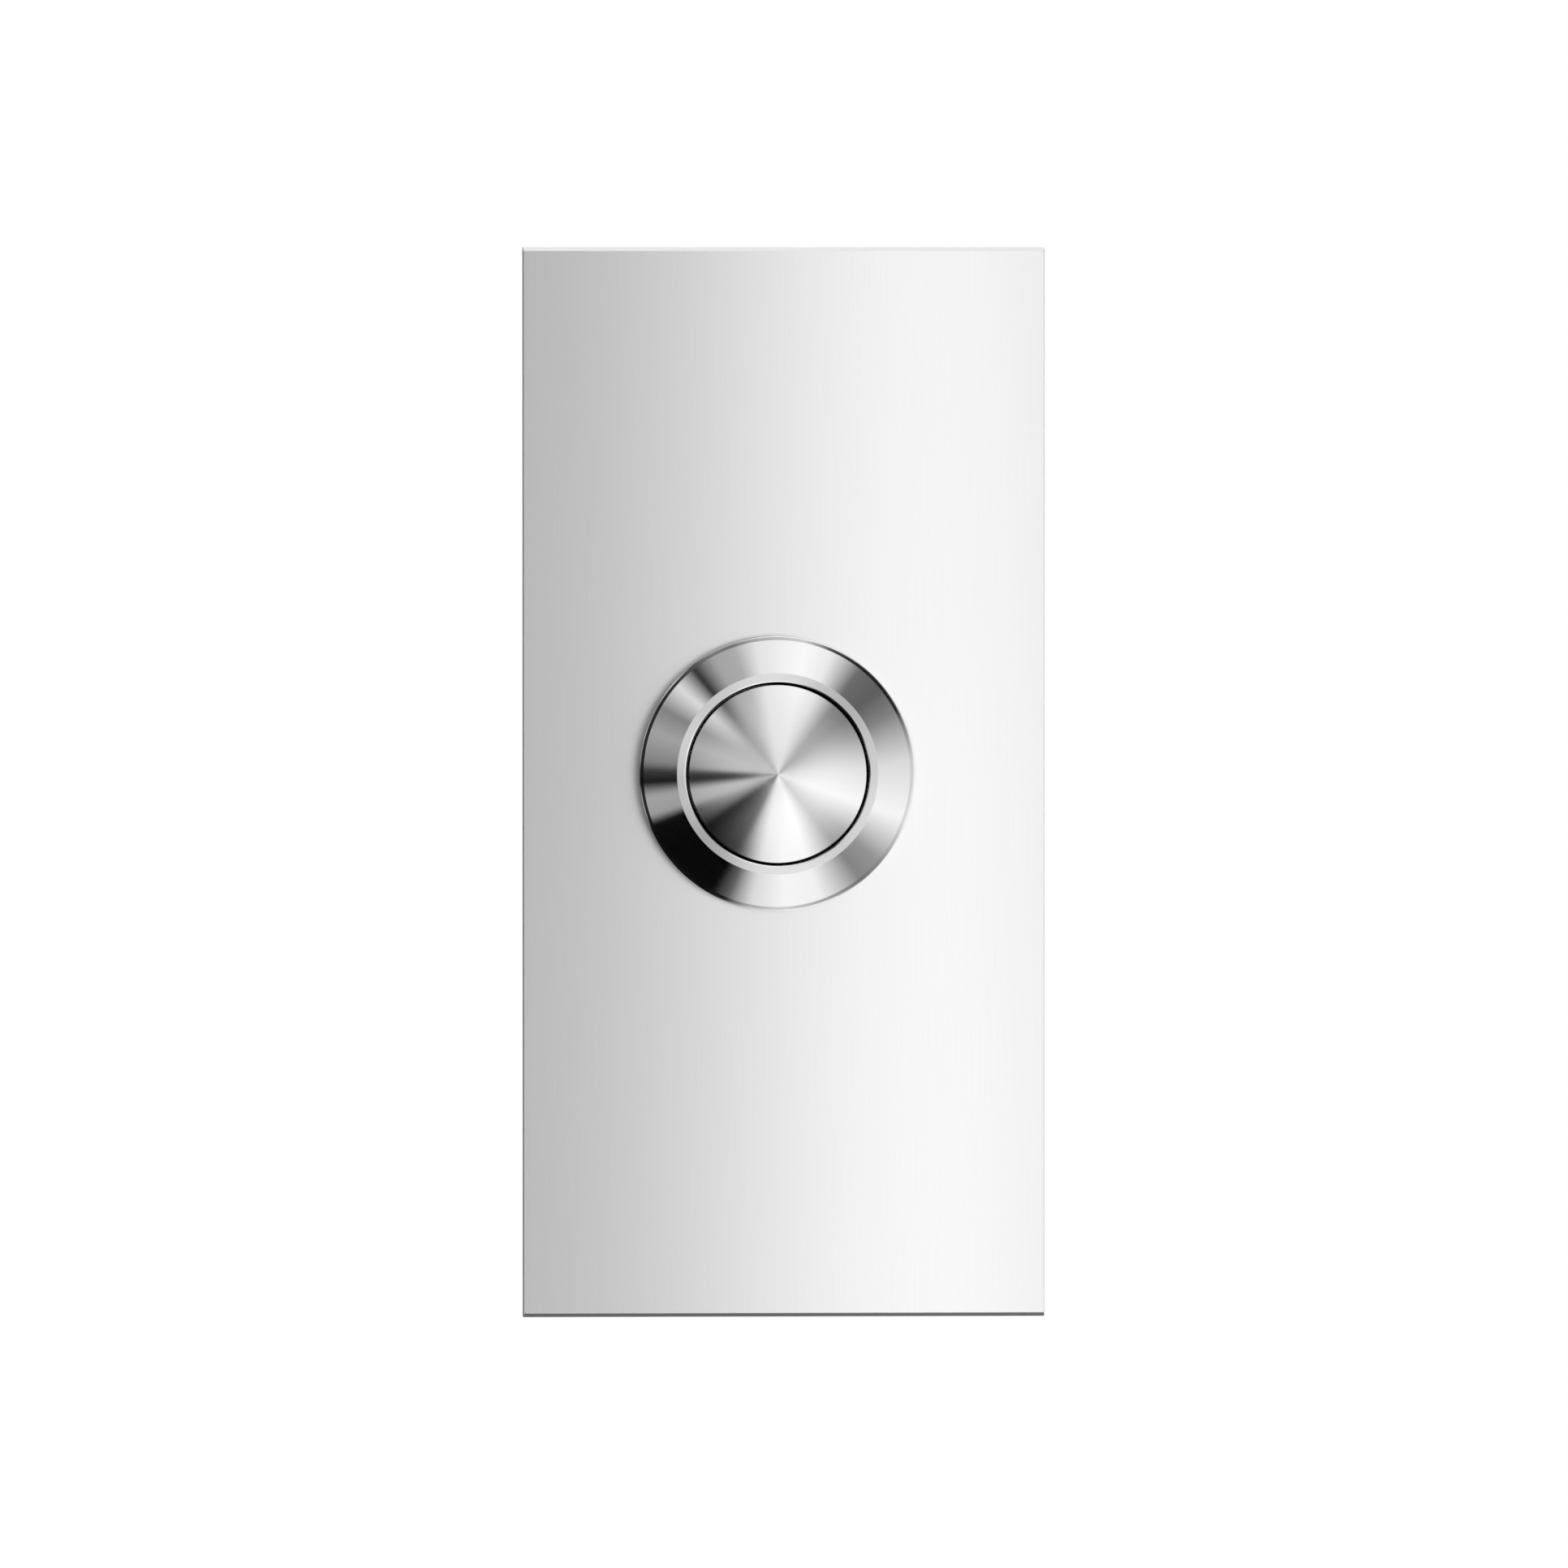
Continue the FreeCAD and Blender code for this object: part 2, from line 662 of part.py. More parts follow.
def make_switch_base():
    """Moulded base that closes the barrel, with bores for the two posts and a rib between them."""
    body = new_body("switch_base")
    turned = revolve(body, "moulding", [
        ("0", "base_seat"),
        ("base_bore_radius - base_gap", "base_seat"),
        ("base_bore_radius - base_gap", "flange_back"),
        ("base_boss_radius", "flange_back"),
        ("base_boss_radius", "base_back"),
        ("0", "base_back"),
    ])
    back = circle_edge(turned, "base_boss_radius", "base_back")
    chamfer(body, "back_edge", turned, back, "base_edge_chamfer")
    rib = new_sketch(body, "rib", "XZ_Plane", "-base_back")
    add_rectangle(rib, "-rib_thickness / 2", "rib_thickness / 2", "-rib_half_width", "rib_half_width")
    pad(body, "rib_wall", rib, "rib_height", backwards=True)
    for name, start, length, radius in (
            ("neck_bores", "-base_seat", "contact_neck_length", "contact_neck_radius + fixed_gap"),
            ("post_bores", "-(base_seat + contact_neck_length)",
             "base_back - base_seat - contact_neck_length", "post_radius + fixed_gap")):
        bores = new_sketch(body, name + "_plan", "XZ_Plane", start)
        for side in ("", "-"):
            add_circle(bores, radius, side + "contact_spacing / 2")
        pocket(body, name, bores, length)


def make_fixed_contact(label, side):
    """Brass post through the base: a contact head inside and a tapped end outside."""
    body = new_body(label, "seat", side + "contact_spacing / 2")
    neck_end = "base_seat + contact_neck_length"
    floor = "washer_back - screw_length - screw_hole_extra"
    revolve(body, "turning", [
        ("0", "contact_face"),
        ("contact_head_radius", "contact_face"),
        ("contact_head_radius", "base_seat"),
        ("contact_neck_radius", "base_seat"),
        ("contact_neck_radius", neck_end),
        ("post_radius", neck_end),
        ("post_radius", "post_end"),
        ("screw_radius + fixed_gap", "post_end"),
        ("screw_radius + fixed_gap", floor),
        ("0", floor),
    ])


def make_clamp_washer(label, side):
    """Plain washer that presses a wire on the post."""
    turn = FreeCAD.Placement(FreeCAD.Vector(), FreeCAD.Rotation(FreeCAD.Vector(1, 0, 0), -90))
    disc = doc.addObject("Part::Cylinder", label + "_disc")
    disc.setExpression("Radius", formula("terminal_washer_radius"))
    disc.setExpression("Height", formula("terminal_washer_thickness"))
    hole = doc.addObject("Part::Cylinder", label + "_hole")
    hole.setExpression("Radius", formula("screw_radius + terminal_washer_gap"))
    hole.setExpression("Height", formula("terminal_washer_thickness"))
    washer = doc.addObject("Part::Cut", label)
    washer.Label = label
    washer.Base = disc
    washer.Tool = hole
    washer.Placement = turn
    washer.setExpression("Placement.Base.x", formula(side + "contact_spacing / 2"))
    washer.setExpression("Placement.Base.y", formula("seat + post_end"))


def make_terminal_screw(label, side):
    """Slotted pan head screw in the post, its head on the washer."""
    body = new_body(label, "seat + washer_back", side + "contact_spacing / 2")
    turned = revolve(body, "turning", [
        ("0", "-screw_length"),
        ("screw_radius", "-screw_length"),
        ("screw_radius", "0"),
        ("screw_head_radius", "0"),
        ("screw_head_radius", "screw_head_height"),
        ("0", "screw_head_height"),
    ])
    top = circle_edge(turned, "screw_head_radius", "screw_head_height")
    chamfer(body, "head_edge", turned, top, "screw_head_chamfer")
    slot = new_sketch(body, "slot", "XZ_Plane", "-screw_head_height")
    add_rectangle(slot, "-screw_slot_width / 2", "screw_slot_width / 2",
                  "-screw_head_radius", "screw_head_radius")
    pocket(body, "slot_cut", slot, "screw_slot_depth", forwards=True)


def make_base_ring():
    """Open spring ring in the barrel's groove behind the base, with two holed lugs at its mouth."""
    body = new_body("base_retaining_ring", "seat + flange_back")
    outer = "ring_groove_radius - running_gap"
    ring = new_sketch(body, "ring", "XZ_Plane")
    add_circle(ring, outer)
    add_circle(ring, outer + " - ring_width")
    pad(body, "ring_sheet", ring, "ring_thickness", backwards=True)
    mouth = new_sketch(body, "mouth", "XZ_Plane")
    add_rectangle(mouth, "-ring_mouth_width / 2", "ring_mouth_width / 2", "0", "ring_groove_radius + 1")
    pocket(body, "mouth_cut", mouth)
    lugs = new_sketch(body, "lugs", "XZ_Plane")
    holes = new_sketch(body, "lug_holes", "XZ_Plane")
    across = "(ring_mouth_width / 2 + ring_lug_radius / 2)"
    reach = "(" + outer + " - ring_lug_radius - fixed_gap)"
    up = "sqrt(" + reach + " * " + reach + " - " + across + " * " + across + ")"
    for side in ("", "-"):
        add_circle(lugs, "ring_lug_radius", side + across, up)
        add_circle(holes, "ring_lug_hole", side + across, up)
    pad(body, "lug_sheets", lugs, "ring_thickness", backwards=True)
    pocket(body, "lug_hole_cut", holes)


# Lock washer and nut

def make_lock_washer():
    """Ring with twisted teeth all round, between the plate and the nut."""
    body = new_body("lock_washer", "seat + plate_thickness")
    ring = new_sketch(body, "ring", "XZ_Plane")
    add_circle(ring, "lock_washer_outer")
    add_circle(ring, "lock_washer_inner")
    pad(body, "ring_sheet", ring, "lock_washer_thickness", backwards=True)
    tooth = new_sketch(body, "tooth", "YZ_Plane", "lock_washer_outer - lock_washer_width / 4")
    add_outline(tooth, [
        ("0", "-tooth_width / 2"),
        ("tooth_sheet", "-tooth_width / 2"),
        ("lock_washer_thickness", "tooth_width / 2"),
        ("lock_washer_thickness - tooth_sheet", "tooth_width / 2"),
    ])
    one = pad(body, "tooth_sheet", tooth, "tooth_length + lock_washer_width / 4")
    polar_pattern(body, "teeth", [one], "tooth_count")


def make_lock_nut():
    """Thin hexagon nut with turned-down corners on both faces and eased bore mouths."""
    body = new_body("lock_nut", "seat + nut_front")
    corner = "nut_corner_radius"
    hexagon = new_sketch(body, "hexagon", "XZ_Plane")
    add_outline(hexagon, [
        (corner, "0"),
        (corner + " / 2", "nut_half_flat"),
        ("-" + corner + " / 2", "nut_half_flat"),
        ("-" + corner, "0"),
        ("-" + corner + " / 2", "-nut_half_flat"),
        (corner + " / 2", "-nut_half_flat"),
    ])
    pad(body, "hexagon_block", hexagon, "nut_thickness", backwards=True)
    bore = new_sketch(body, "bore", "XZ_Plane")
    add_circle(bore, "barrel_radius + fixed_gap")
    drilled = pocket(body, "thread_bore", bore)
    chamfer(body, "bore_mouths", drilled, edges_of(drilled, is_circle), "nut_mouth_chamfer")
    for name, face, into in (("front", "0", "nut_corner_drop"),
                             ("back", "nut_thickness", "nut_thickness - nut_corner_drop")):
        sketch = new_sketch(body, name + "_corner_profile", "XY_Plane")
        add_outline(sketch, [
            ("nut_half_flat", face),
            (corner + " + 1", face),
            (corner + " + 1", into),
            (corner, into),
        ])
        turn_profile(body, name + "_corners", sketch, "PartDesign::Groove")


def check_and_write(labels):
    """Stops on any failed object or bad solid, then writes one file for each sub-part."""
    doc.recompute()
    failed = [item.Name for item in doc.Objects if "Invalid" in item.State or "Error" in item.State]
    if failed:
        raise ValueError("failed objects: " + ", ".join(failed))
    for label in labels:
        shape = doc.getObject(label).Shape
        if shape.isNull() or not shape.isValid() or len(shape.Solids) != 1:
            raise ValueError(label + " is not one valid solid")
    os.makedirs("parts", exist_ok=True)
    for label in labels:
        doc.getObject(label).Shape.exportStep(os.path.join("parts", label + ".step"))


fill_sheet()
make_face_plate()
make_stud("upper_stud", "")
make_stud("lower_stud", "-")
make_wall_gasket()
make_button_housing()
make_ring_seal("panel_seal", "barrel_radius + panel_seal_side + fixed_gap",
               "barrel_radius + panel_seal_side + fixed_gap + panel_seal_width", "-panel_seal_height", "0")
make_ring_seal("stem_seal", "stem_radius + running_gap", "stem_radius + running_gap + stem_seal_width",
               "stem_seal_front", "stem_seal_front + stem_seal_height")
make_push_cap()
make_retaining_clip()
make_spring("return_spring", "cap_underside", "web_front - cap_underside",
            "return_spring_radius", "return_wire_radius", "return_spring_turns")
make_plunger()
make_spring("contact_spring", "boss_back", "contact_spring_height",
            "contact_spring_radius", "contact_wire_radius", "contact_spring_turns")
make_contact_bridge()
make_switch_base()
make_base_ring()
for end, sign in (("left", "-"), ("right", "")):
    make_moving_contact("moving_contact_" + end, sign)
    make_fixed_contact("fixed_contact_" + end, sign)
    make_clamp_washer("clamp_washer_" + end, sign)
    make_terminal_screw("terminal_screw_" + end, sign)
make_lock_washer()
make_lock_nut()
check_and_write([item.Label for item in doc.Objects
                 if item.isDerivedFrom("PartDesign::Body") or item.TypeId == "Part::Cut"])
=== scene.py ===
"""Doorbell push button: the finished surfaces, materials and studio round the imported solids.

Everything is in metres in the solids' own frame: the front looks along -Y, +Z is up, and the wall is y = 0.
The shapes are worked out in millimetres, on grids of two parameters, and turned to metres in one place.
"""
import math

import bmesh
import bpy
import numpy as np
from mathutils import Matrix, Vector


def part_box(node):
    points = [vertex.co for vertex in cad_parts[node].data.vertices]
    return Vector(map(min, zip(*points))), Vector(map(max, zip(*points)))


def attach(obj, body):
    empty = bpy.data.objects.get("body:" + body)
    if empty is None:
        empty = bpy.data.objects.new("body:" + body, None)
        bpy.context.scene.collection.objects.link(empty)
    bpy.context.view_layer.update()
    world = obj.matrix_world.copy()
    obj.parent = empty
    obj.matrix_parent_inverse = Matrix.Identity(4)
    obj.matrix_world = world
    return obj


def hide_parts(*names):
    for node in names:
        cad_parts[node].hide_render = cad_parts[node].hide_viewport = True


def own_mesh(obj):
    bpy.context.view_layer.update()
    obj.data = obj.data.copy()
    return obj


bl_info = {
    "name": "Doorbell push button",
    "version": (1, 0, 0),
    "blender": (4, 5, 0),
    "location": "3D View > Sidebar > Doorbell",
    "description": "Builds the finished surfaces, materials and studio of a doorbell push button",
    "category": "Object",
}

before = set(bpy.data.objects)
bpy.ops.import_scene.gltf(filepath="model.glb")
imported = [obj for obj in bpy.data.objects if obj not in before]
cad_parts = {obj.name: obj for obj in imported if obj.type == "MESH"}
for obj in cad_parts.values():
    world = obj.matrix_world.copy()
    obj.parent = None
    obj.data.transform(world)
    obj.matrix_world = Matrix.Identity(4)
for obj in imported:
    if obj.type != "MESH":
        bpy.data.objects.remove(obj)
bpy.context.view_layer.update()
MM = 0.001
TURN = 2 * math.pi
# Points of a mesh that lie nearer than this, in metres, are one.
WELD = 2e-7

# What several pieces share, in millimetres: places of faces from the wall and radii from the button's axis.
PLATE_FRONT = -3.0
LAND = -5.2
CAP_BACK = -2.8
WEB_FRONT, WEB_BACK = 0.2, 3.2
SEAL_FRONT, SEAL_BACK = 1.25, 2.15
STEM_BORE = 3.05
STUD_PLACE = 30.0


def hex_colour(code):
    """Linear red, green, blue and alpha of an sRGB hex value."""
    shares = [int(code[i:i + 2], 16) / 255 for i in (1, 3, 5)]
    return [s / 12.92 if s <= 0.04045 else ((s + 0.055) / 1.055) ** 2.4 for s in shares] + [1.0]


def colour_property(name, about, code):
    """A colour that the user may change, with its default given as an sRGB hex value."""
    return bpy.props.FloatVectorProperty(
        name=name, description=about, subtype="COLOR", size=4, min=0, max=1, default=hex_colour(code))


def length_property(name, about, millimetres):
    """A length that the user may change, with its default given in millimetres."""
    return bpy.props.FloatProperty(
        name=name, description=about, unit="LENGTH", precision=5, min=0, default=millimetres * MM)


class DoorbellSizes(bpy.types.PropertyGroup):
    """Sizes that only the finished surfaces have."""
    plate_edge: length_property("Plate edge", "Break along the plate's upright front edges", 0.06)
    turned_edge: length_property("Turned edge", "Rounding left on turned edges", 0.05)
    sheet_edge: length_property("Sheet edge", "Rounding left on punched and moulded edges", 0.07)
    barrel_pitch: length_property("Barrel pitch", "Pitch of the fine thread on the barrel", 1.0)
    stud_pitch: length_property("Stud pitch", "Pitch of the thread on the weld studs", 0.7)
    foam_bulge: length_property("Foam bulge", "How far the pressed foam stands out at its sides", 0.18)


class DoorbellColours(bpy.types.PropertyGroup):
    """Base colours of the finishes."""
    steel: colour_property("Stainless steel", "Plate, housing and cap", "#E0E0E0")
    stud: colour_property("Stud steel", "Weld studs", "#C4C5C6")
    nickel: colour_property("Nickel plate", "Lock nut", "#D3CDC1")
    zinc: colour_property("Zinc plate", "Screws, clamp washers and lock washer", "#C3C8CC")
    wire: colour_property("Spring wire", "Springs, clip and base ring", "#A5A6A8")
    brass: colour_property("Brass", "Bridge and fixed contacts", "#D9B765")
    silver: colour_property("Silver", "Moving contacts", "#EAE7E0")
    rubber: colour_property("Rubber", "Panel and stem seals", "#1A1B1C")
    foam: colour_property("Foam", "Sealing sheet on the wall side", "#35373A")
    base: colour_property("Base moulding", "Switch base", "#202225")
    plunger: colour_property("Plunger moulding", "Plunger", "#E6E3DA")
    # Painted shade: near black for the walls of the gap round the cap, where they lie in shadow.
    gap_shade: colour_property("Painted gap shade", "Walls of the gap round the cap", "#0C0C0C")


class DoorbellStudio(bpy.types.PropertyGroup):
    """Camera and light."""
    view_width: length_property("View width", "Width of the picture at the plate's face", 125.6)
    camera_distance: length_property("Camera distance", "From the plate's face to the camera", 1500)
    from_left: bpy.props.FloatProperty(name="From the left", description="How far the camera stands to the left",
                                       subtype="ANGLE", default=math.radians(2.7))
    from_above: bpy.props.FloatProperty(name="From above", description="How far the camera stands above",
                                        subtype="ANGLE", default=math.radians(1.6))
    key_power: bpy.props.FloatProperty(name="Key power", description="Soft lamp at the upper right, in watts",
                                       min=0, default=9.0)
    side_card: bpy.props.FloatProperty(name="Side card", description="Brightness of the card that grades the plate",
                                       min=0, default=1.68)
    ambient: bpy.props.FloatProperty(name="Ambient", description="Even light of the room on matt surfaces",
                                     min=0, max=1, default=0.62)


def sizes():
    return bpy.context.scene.doorbell_sizes


def colours():
    return bpy.context.scene.doorbell_colours


def studio():
    return bpy.context.scene.doorbell_studio


# Shapes

def eased(corners, steps=4, closed=False):
    """Radius and depth along a profile whose corners are replaced by arcs.

    Each corner is (radius, depth, rounding).  The arc's centre lies on the corner's bisector, at the rounding
    divided by the sine of half the corner's angle.  A point a hair before and after each arc keeps the flats
    between arcs flat in the shading.
    """
    points = np.array([corner[:2] for corner in corners], float)
    share = np.linspace(0, 1, steps + 1)[:, None]
    line = []
    for place, (here, (_, _, rounding)) in enumerate(zip(points, corners)):
        is_end = not closed and place in (0, len(corners) - 1)
        if is_end or not rounding:
            line.append(here)
            continue
        back, ahead = points[place - 1] - here, points[(place + 1) % len(corners)] - here
        reach = min(np.linalg.norm(back), np.linalg.norm(ahead))
        back, ahead = back / np.linalg.norm(back), ahead / np.linalg.norm(ahead)
        half = math.acos(np.clip(back @ ahead, -1, 1)) / 2
        tangent = min(rounding / math.tan(half), 0.42 * reach)
        centre = here + (back + ahead) / np.linalg.norm(back + ahead) * tangent / math.cos(half)
        first, last = here + back * tangent - centre, here + ahead * tangent - centre
        swing = math.pi - 2 * half
        arc = centre + (first * np.sin((1 - share) * swing) + last * np.sin(share * swing)) / math.sin(swing)
        hair = min(0.15 * tangent + 0.01, 0.05 * reach)
        line += [here + back * (tangent + hair), *arc, here + ahead * (tangent + hair)]
    if closed:
        line.append(line[0])
    radius, depth = np.array(line).T
    return radius, depth


def full_turn(count):
    """Angles of one full turn with both ends, counted from +X towards +Z."""
    return np.linspace(0, TURN, count + 1)


def rows_of(values, count):
    """Values along a profile as rows that say the same at every angle; what has rows already passes as it is."""
    values = np.asarray(values)
    return np.broadcast_to(values if values.ndim == 2 else values[:, None], (len(values), count))


def stack_rows(angles, *parts):
    """Joins profiles and thread rows, each a radius and a depth, into one grid of radii and one of depths."""
    return tuple(np.vstack([rows_of(part[i], len(angles)) for part in parts]) for i in (0, 1))


def round_grid(angles, radius, depth, centre=(0, 0)):
    """Points at the given radii and depths round an axis along Y.

    X is the radius times the angle's cosine and Z the radius times its sine, both counted from the axis.
    """
    radius, depth = rows_of(radius, len(angles)), rows_of(depth, len(angles))
    return np.stack([centre[0] + radius * np.cos(angles), depth, centre[1] + radius * np.sin(angles)], -1)


def thread_height(pitch):
    """Height of a thread with 60 degree flanks, from its flat root to its flat crest."""
    return 0.5413 * pitch


def thread_rows(angles, crest, pitch, start, end):
    """Rows of a right-handed thread with 60 degree flanks, a flat crest and a flat root.

    Depth is the start plus the pitch times the place along the thread less the angle's share of a turn, held
    between start and end.  The radius runs from root to crest across each pitch and never stands above a
    45 degree cone at either end, so both ends close at the root.
    """
    height = thread_height(pitch)
    across = np.array([-0.125, 0.125, 0.4375, 0.5625])
    rise = np.array([0.0, 0.0, 1.0, 1.0])
    turns = np.arange(-1, math.ceil((end - start) / pitch) + 2)
    along = (turns[:, None] + across).ravel()[:, None]
    rise = np.tile(rise, len(turns))[:, None]
    depth = np.clip(start + pitch * (along - angles / TURN), start, end)
    cone = np.minimum(depth - start, end - depth)
    return crest - height + np.minimum(height * rise, cone), depth


def coil_grid(middle, wire, front, back, turns, around=12, per_turn=40):
    """A round wire on a helix with ground ends.

    The first parameter runs along the helix, whose depth grows evenly with its angle; the second runs round
    the wire.  Depths beyond the ends are held at the ends, which grinds them flat.
    """
    along = np.linspace(0, 1, int(turns * per_turn) + 1)[:, None]
    swing = -TURN * turns * along
    ring = full_turn(around)
    reach = middle + wire * np.cos(ring)
    depth = np.clip(front + (back - front) * along + wire * np.sin(ring), front, back)
    grid = np.stack([reach * np.cos(swing), depth, reach * np.sin(swing)], -1)
    caps = [np.broadcast_to(row.mean(0), row.shape) for row in (grid[0], grid[-1])]
    return np.concatenate([caps[0][None], grid, caps[1][None]])


def box_outline(left, right, low, high, rounding=(0, 0, 0, 0), per_side=12, cuts=()):
    """Points and outward directions round an upright box, from its lower left corner through the lower right.

    Each side is divided evenly, with extra points at the cuts' distances from each end; each corner with a
    rounding gets an arc of that radius.
    """
    corners = np.array([(left, low), (right, low), (right, high), (left, high)], float)
    outward = np.array([(0, -1), (1, 0), (0, 1), (-1, 0)], float)
    swing = np.linspace(0, math.pi / 2, 7)[1:-1, None]
    points, normals = [], []
    for side, out in enumerate(outward):
        start, stop = corners[side], corners[(side + 1) % 4]
        length = np.linalg.norm(stop - start)
        ahead = (stop - start) / length
        first, last = rounding[side], rounding[(side + 1) % 4]
        extra = [c for cut in cuts for c in (cut, length - cut)]
        marks = np.unique(np.concatenate([np.linspace(first, length - last, per_side + 1), extra]).round(6))
        points.append(start + ahead * marks[:, None])
        normals.append(np.tile(out, (len(marks), 1)))
        if last:
            lean = out * np.cos(swing) + ahead * np.sin(swing)
            points.append(stop - (ahead + out) * last + last * lean)
            normals.append(lean)
    points.append(points[0][:1])
    normals.append(normals[0][:1])
    return np.concatenate(points), np.concatenate(normals)


def sheet_grid(rows):
    """One grid of points from rows of upright outlines in X and Z, each with its depth along Y."""
    return np.array([np.stack([outline[:, 0], np.broadcast_to(depth, len(outline)), outline[:, 1]], -1)
                     for outline, depth in rows])


def add_mesh(name, grids, keep=None, sharp=32, merge=WELD):
    """One closed mesh from grids of points in millimetres.

    Neighbouring points of a grid make a four-sided face; keep can leave faces out.  Points that meet, at seams
    and poles, become one, and edges sharper than the given angle stay crisp in the shading.
    """
    points, faces, base = [], [], 0
    for number, grid in enumerate(grids):
        rows, columns = grid.shape[:2]
        index = base + np.arange(rows * columns).reshape(rows, columns)
        quads = np.stack([index[:-1, :-1], index[:-1, 1:], index[1:, 1:], index[1:, :-1]], -1)
        if keep is not None:
            quads = quads[keep[number]]
        points.append(grid.reshape(-1, 3) * MM)
        faces.append(quads.reshape(-1, 4))
        base += rows * columns
    mesh = bpy.data.meshes.new(name)
    mesh.from_pydata(np.concatenate(points).tolist(), [], np.concatenate(faces).tolist())
    return finished_object(name, mesh, sharp, merge)


def finished_object(name, mesh, sharp, merge):
    """Merges the mesh's doubles, turns its faces outwards and links it as an object at the origin."""
    work = bmesh.new()
    work.from_mesh(mesh)
    bmesh.ops.remove_doubles(work, verts=work.verts, dist=merge)
    bmesh.ops.dissolve_degenerate(work, dist=merge, edges=work.edges)
    bmesh.ops.recalc_face_normals(work, faces=work.faces)
    work.to_mesh(mesh)
    work.free()
    mesh.shade_smooth()
    mesh.set_sharp_from_angle(angle=math.radians(sharp))
    made = bpy.data.objects.new(name, mesh)
    bpy.context.scene.collection.objects.link(made)
    return made


def dress(piece, material, body, node):
    """Gives a piece its material, hangs it on the empty of the body it rides on and hides the solid it stands for.
    """
    piece.data.materials.clear()
    piece.data.materials.append(material)
    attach(piece, body)
    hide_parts(node)
    return piece


def eased_solid(node, name, material, body, sharp=30):
    """A merged copy of a solid with its edges rounded by the sheet edge."""
    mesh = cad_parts[node].data.copy()
    mesh.name = name
    work = bmesh.new()
    work.from_mesh(mesh)
    bmesh.ops.remove_doubles(work, verts=work.verts, dist=WELD)
    bmesh.ops.dissolve_limit(work, angle_limit=math.radians(0.5), verts=work.verts, edges=work.edges)
    work.to_mesh(mesh)
    work.free()
    piece = finished_object(name, mesh, sharp, WELD)
    edge = piece.modifiers.new("edge", "BEVEL")
    edge.width = sizes().sheet_edge
    edge.segments = 2
    edge.limit_method = "ANGLE"
    edge.angle_limit = math.radians(sharp)
    edge.harden_normals = True
    return dress(piece, material, body, node)


# Materials

def add(tree, kind, values=(), links=()):
    """Adds one node: values sets its properties and sockets, links joins its sockets to outputs."""
    made = tree.nodes.new(kind)
    for key, value in dict(values).items():
        if isinstance(key, int) or key in made.inputs:
            made.inputs[key].default_value = value
        else:
            setattr(made, key, value)
    for key, source in dict(links).items():
        tree.links.new(source, made.inputs[key])
    return made


def new_material(name, values):
    """A named material with its shader; what is even all over is set on the shader's own sockets."""
    material = bpy.data.materials.new(name)
    material.use_nodes = True
    shader = material.node_tree.nodes["Principled BSDF"]
    for key, value in values.items():
        shader.inputs[key].default_value = value
    return material, material.node_tree, shader


def lines_of(tree, sizes_mm, seed=0.0, detail=3.0):
    """Noise whose grain has the given sizes in millimetres along X, Y and Z."""
    place = add(tree, "ShaderNodeTexCoord")
    scaled = add(tree, "ShaderNodeMapping",
                 {"Scale": [1 / (size * MM) for size in sizes_mm], "Location": (seed, seed, seed)},
                 {"Vector": place.outputs["Object"]})
    return add(tree, "ShaderNodeTexNoise", {"Scale": 1.0, "Detail": detail, "Roughness": 0.6},
               {"Vector": scaled.outputs["Vector"]}).outputs["Fac"]


def vary(tree, shader, grain, roughness, bump_mm, tint=None, strength=1.0):
    """Lets a grain of 0 to 1 change the roughness between two values, the height and, a little, the colour."""
    rough = add(tree, "ShaderNodeMapRange", {"To Min": roughness[0], "To Max": roughness[1]}, {"Value": grain})
    tree.links.new(rough.outputs["Result"], shader.inputs["Roughness"])
    if bump_mm:
        bump = add(tree, "ShaderNodeBump", {"Distance": bump_mm * MM, "Strength": strength}, {"Height": grain})
        tree.links.new(bump.outputs["Normal"], shader.inputs["Normal"])
    if tint:
        base = shader.inputs["Base Color"].default_value[:]
        low, high = ([channel * share for channel in base[:3]] + [1.0] for share in tint)
        mix = add(tree, "ShaderNodeMix", {"data_type": "RGBA", 6: low, 7: high}, {0: grain})
        tree.links.new(mix.outputs[2], shader.inputs["Base Color"])


def turned_tangent(tree, shader):
    """Points the spread of the highlight across the tool's circles.

    The direction is the surface's normal crossed with the circle's own direction, which is radial on a face
    and lengthwise on a barrel.  Returns the distance from the axis and the depth along it, in metres.
    """
    place = add(tree, "ShaderNodeTexCoord")
    split = add(tree, "ShaderNodeSeparateXYZ", {}, {"Vector": place.outputs["Object"]})
    flip = add(tree, "ShaderNodeMath", {"operation": "MULTIPLY", 1: -1.0}, {0: split.outputs["Z"]})
    around = add(tree, "ShaderNodeCombineXYZ", {}, {"X": flip.outputs[0], "Z": split.outputs["X"]})
    surface = add(tree, "ShaderNodeNewGeometry")
    across = add(tree, "ShaderNodeVectorMath", {"operation": "CROSS_PRODUCT"},
                 {0: surface.outputs["Normal"], 1: around.outputs[0]})
    unit = add(tree, "ShaderNodeVectorMath", {"operation": "NORMALIZE"}, {0: across.outputs[0]})
    tree.links.new(unit.outputs[0], shader.inputs["Tangent"])
    radius = add(tree, "ShaderNodeVectorMath", {"operation": "LENGTH"}, {0: around.outputs[0]})
    return radius.outputs["Value"], split.outputs["Y"]


